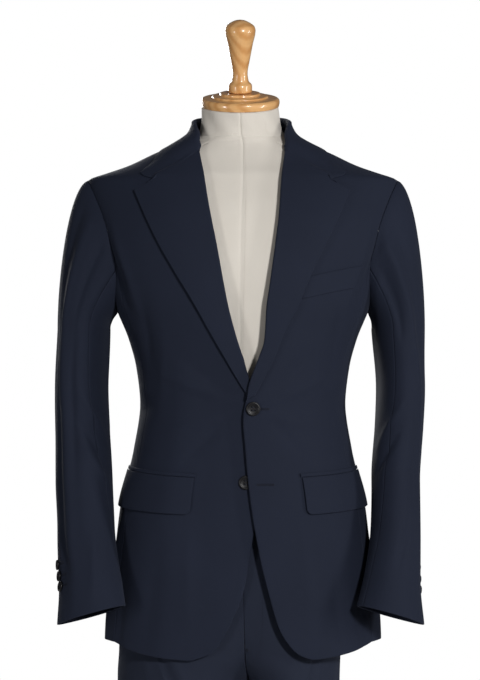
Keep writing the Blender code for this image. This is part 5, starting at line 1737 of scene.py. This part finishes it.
def on_form(level, angle):
    """Point of the form just above its linen."""
    return form_point(level, angle, STITCH_LIFT)


for number, seam in enumerate(SEAM_ANGLES[:3]):
    line = [(level, seam + 1.1) for level in np.linspace(5.0, 18.6, 40)]
    running_stitches("form_stitches_%d" % (number + 1), line, on_form, 0.0034, 0.0022, 0.00018, LINEN_THREAD)

# %% Wooden cap and knob, pole and base
CAP_PROFILE = [
    (0.0000, 0.0120),
    (0.0290, 0.0120),
    (0.0290, 0.0090),
    (0.0400, 0.0080),
    (0.0405, 0.0055),
    (0.0540, 0.0045),
    (0.0568, 0.0020),
    (0.0572, -0.0020),
    (0.0560, -0.0075),
    (0.0000, -0.0075),
]

KNOB_PROFILE = [
    (0.0000, 0.1168),
    (0.0070, 0.1158),
    (0.0130, 0.1130),
    (0.0205, 0.1080),
    (0.0225, 0.1020),
    (0.0215, 0.0940),
    (0.0187, 0.0840),
    (0.0159, 0.0690),
    (0.0130, 0.0540),
    (0.0113, 0.0460),
    (0.0108, 0.0380),
    (0.0125, 0.0280),
    (0.0172, 0.0245),
    (0.0175, 0.0150),
    (0.0165, 0.0123),
    (0.0000, 0.0123),
]

BASE_PROFILE = [
    (0.0000, HUB_TOP),
    (0.0150, HUB_TOP),
    (0.0180, HUB_TOP - 0.0030),
    (0.0200, BASE_THICKNESS + 0.0060),
    (0.0260, BASE_THICKNESS),
    (BASE_RADIUS - 0.0040, BASE_THICKNESS),
    (BASE_RADIUS - 0.0010, BASE_THICKNESS - 0.0020),
    (BASE_RADIUS, BASE_THICKNESS - 0.0050),
    (BASE_RADIUS, 0.0),
    (0.0000, 0.0),
]

POLE_LOW = HUB_TOP + PART_GAP
POLE_HIGH = FORM_BOTTOM - PART_GAP
POLE_BREAK = 0.0004
POLE_PROFILE = [
    (0.0, POLE_LOW),
    (POLE_RADIUS - POLE_BREAK, POLE_LOW),
    (POLE_RADIUS, POLE_LOW + POLE_BREAK),
    (POLE_RADIUS, POLE_HIGH - POLE_BREAK),
    (POLE_RADIUS - POLE_BREAK, POLE_HIGH),
    (0.0, POLE_HIGH),
]
TURNED_COLUMNS = 96


def tilted_axes(angle):
    """Axes turned about X by an angle."""
    c, s = math.cos(angle), math.sin(angle)
    return np.array([[1.0, 0.0, 0.0], [0.0, c, -s], [0.0, s, c]])


axes = tilted_axes(CAP_TILT)
for node, profile, step, soften in (("neck_cap", CAP_PROFILE, 0.0008, 2),
                                    ("knob", KNOB_PROFILE, 0.0010, 6)):
    made = turned_mesh(node + "_wood", profile[::-1], step, TURNED_COLUMNS, BEECH, CAP_CENTRE, axes,
                       soften=soften)
    keep(made, node)
made = turned_mesh("base_steel", BASE_PROFILE[::-1], 0.0020, TURNED_COLUMNS, STEEL_BASE, (0, 0, 0), soften=1)
keep(made, "base")
made = turned_mesh("pole_steel", POLE_PROFILE, 0.0100, TURNED_COLUMNS // 2, STEEL_POLE, (0, 0, 0))
keep(made, "pole")

# %% [markdown]
# ## Floor, light and camera
#
# A plain pale floor fades into a white world. A small key light stands to the right of the camera
# and above it, an upright strip light on each side, and a large soft light behind. The key light is
# small because dark wool hides its folds in broad light. The camera stands three metres away at
# chest height with a long lens, as for a catalogue picture.

# %% Stage
FLOOR_REACH = 2.4
FLOOR_SOLID = 0.4
FLOOR_SIDES = 96
WORLD_FILL = 0.075
turn = np.linspace(0.0, 2.0 * math.pi, FLOOR_SIDES, endpoint=False)
rim = [(FLOOR_REACH * math.cos(t), FLOOR_REACH * math.sin(t), 0.0) for t in turn]
floor_mesh = bpy.data.meshes.new("floor")
floor_mesh.from_pydata(rim, [], [tuple(range(FLOOR_SIDES))])
floor = bpy.data.objects.new("floor", floor_mesh)
bpy.context.scene.collection.objects.link(floor)
pale, pale_tree, pale_shader = empty_material("pale_floor")
settle(pale_shader, {"Base Color": (0.90, 0.90, 0.90, 1.0), "Roughness": 0.9})
where = add_node(pale_tree, "ShaderNodeTexCoord")
distance = add_node(pale_tree, "ShaderNodeVectorMath", operation="LENGTH")
fade = add_node(pale_tree, "ShaderNodeMapRange", interpolation_type="SMOOTHSTEP")
settle(fade, {"From Min": FLOOR_SOLID, "From Max": FLOOR_REACH - 0.3, "To Min": 1.0, "To Max": 0.0})
wire(pale_tree, (where, "Object"), (distance, 0))
wire(pale_tree, (distance, "Value"), (fade, "Value"))
wire(pale_tree, (fade, "Result"), (pale_shader, "Alpha"))
floor_mesh.materials.append(pale)
floor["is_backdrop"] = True

world = bpy.data.worlds.new("studio")
world.use_nodes = True
sky = world.node_tree.nodes["Background"]
sky.inputs["Color"].default_value = (1.0, 1.0, 1.0, 1.0)
seen = world.node_tree.nodes.new("ShaderNodeLightPath")
strength = add_node(world.node_tree, "ShaderNodeMapRange")
settle(strength, {"To Min": WORLD_FILL, "To Max": 1.0})
wire(world.node_tree, (seen, "Is Camera Ray"), (strength, "Value"))
wire(world.node_tree, (strength, "Result"), (sky, "Strength"))
bpy.context.scene.world = world
bpy.context.scene.view_settings.view_transform = "Standard"


def soft_light(name, place, target, size, power):
    """Area light at a place, facing a target."""
    light = bpy.data.lights.new(name, "AREA")
    light.shape = "RECTANGLE"
    light.size, light.size_y = size
    light.energy = power
    lamp = bpy.data.objects.new(name, light)
    lamp.location = place
    way = np.asarray(place, float) - np.asarray(target, float)
    flat = math.hypot(way[0], way[1])
    lamp.rotation_euler = (math.atan2(flat, way[2]), 0.0, math.atan2(way[1], way[0]) + 0.5 * math.pi)
    bpy.context.scene.collection.objects.link(lamp)


soft_light("soft_right", (2.6, -1.0, 1.3), (0.0, 0.0, 1.2), (0.3, 1.2), 22.0)
soft_light("soft_left", (-2.2, -2.2, 1.1), (0.0, 0.0, 1.2), (0.4, 1.0), 18.0)
soft_light("key", (1.1, -2.6, 1.9), (0.0, 0.0, 1.2), (0.3, 0.3), 52.0)
soft_light("soft_back", (-1.2, 2.8, 2.2), (0.0, 0.0, 1.1), (1.4, 1.4), 60.0)

# %% Camera
CAMERA_DISTANCE = 3.0
CAMERA_HEIGHT = 1.27
LENS = 110.3
camera = bpy.data.cameras.new("camera")
camera.lens = LENS
camera.sensor_width = 36.0
camera.sensor_fit = "AUTO"
eye = bpy.data.objects.new("camera", camera)
eye.location = (0.0, -CAMERA_DISTANCE, CAMERA_HEIGHT)
eye.rotation_euler = (0.5 * math.pi, 0.0, 0.0)
bpy.context.scene.collection.objects.link(eye)
bpy.context.scene.camera = eye

# %% [markdown]
# The last cell compares the dressed model's box with the imported one.

# %% Sizes
new_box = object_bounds()
grown = [[round(float(b - a), 4) for a, b in zip(old, new)] for old, new in zip(cad_box, new_box)]
print("grown by (m):", grown)
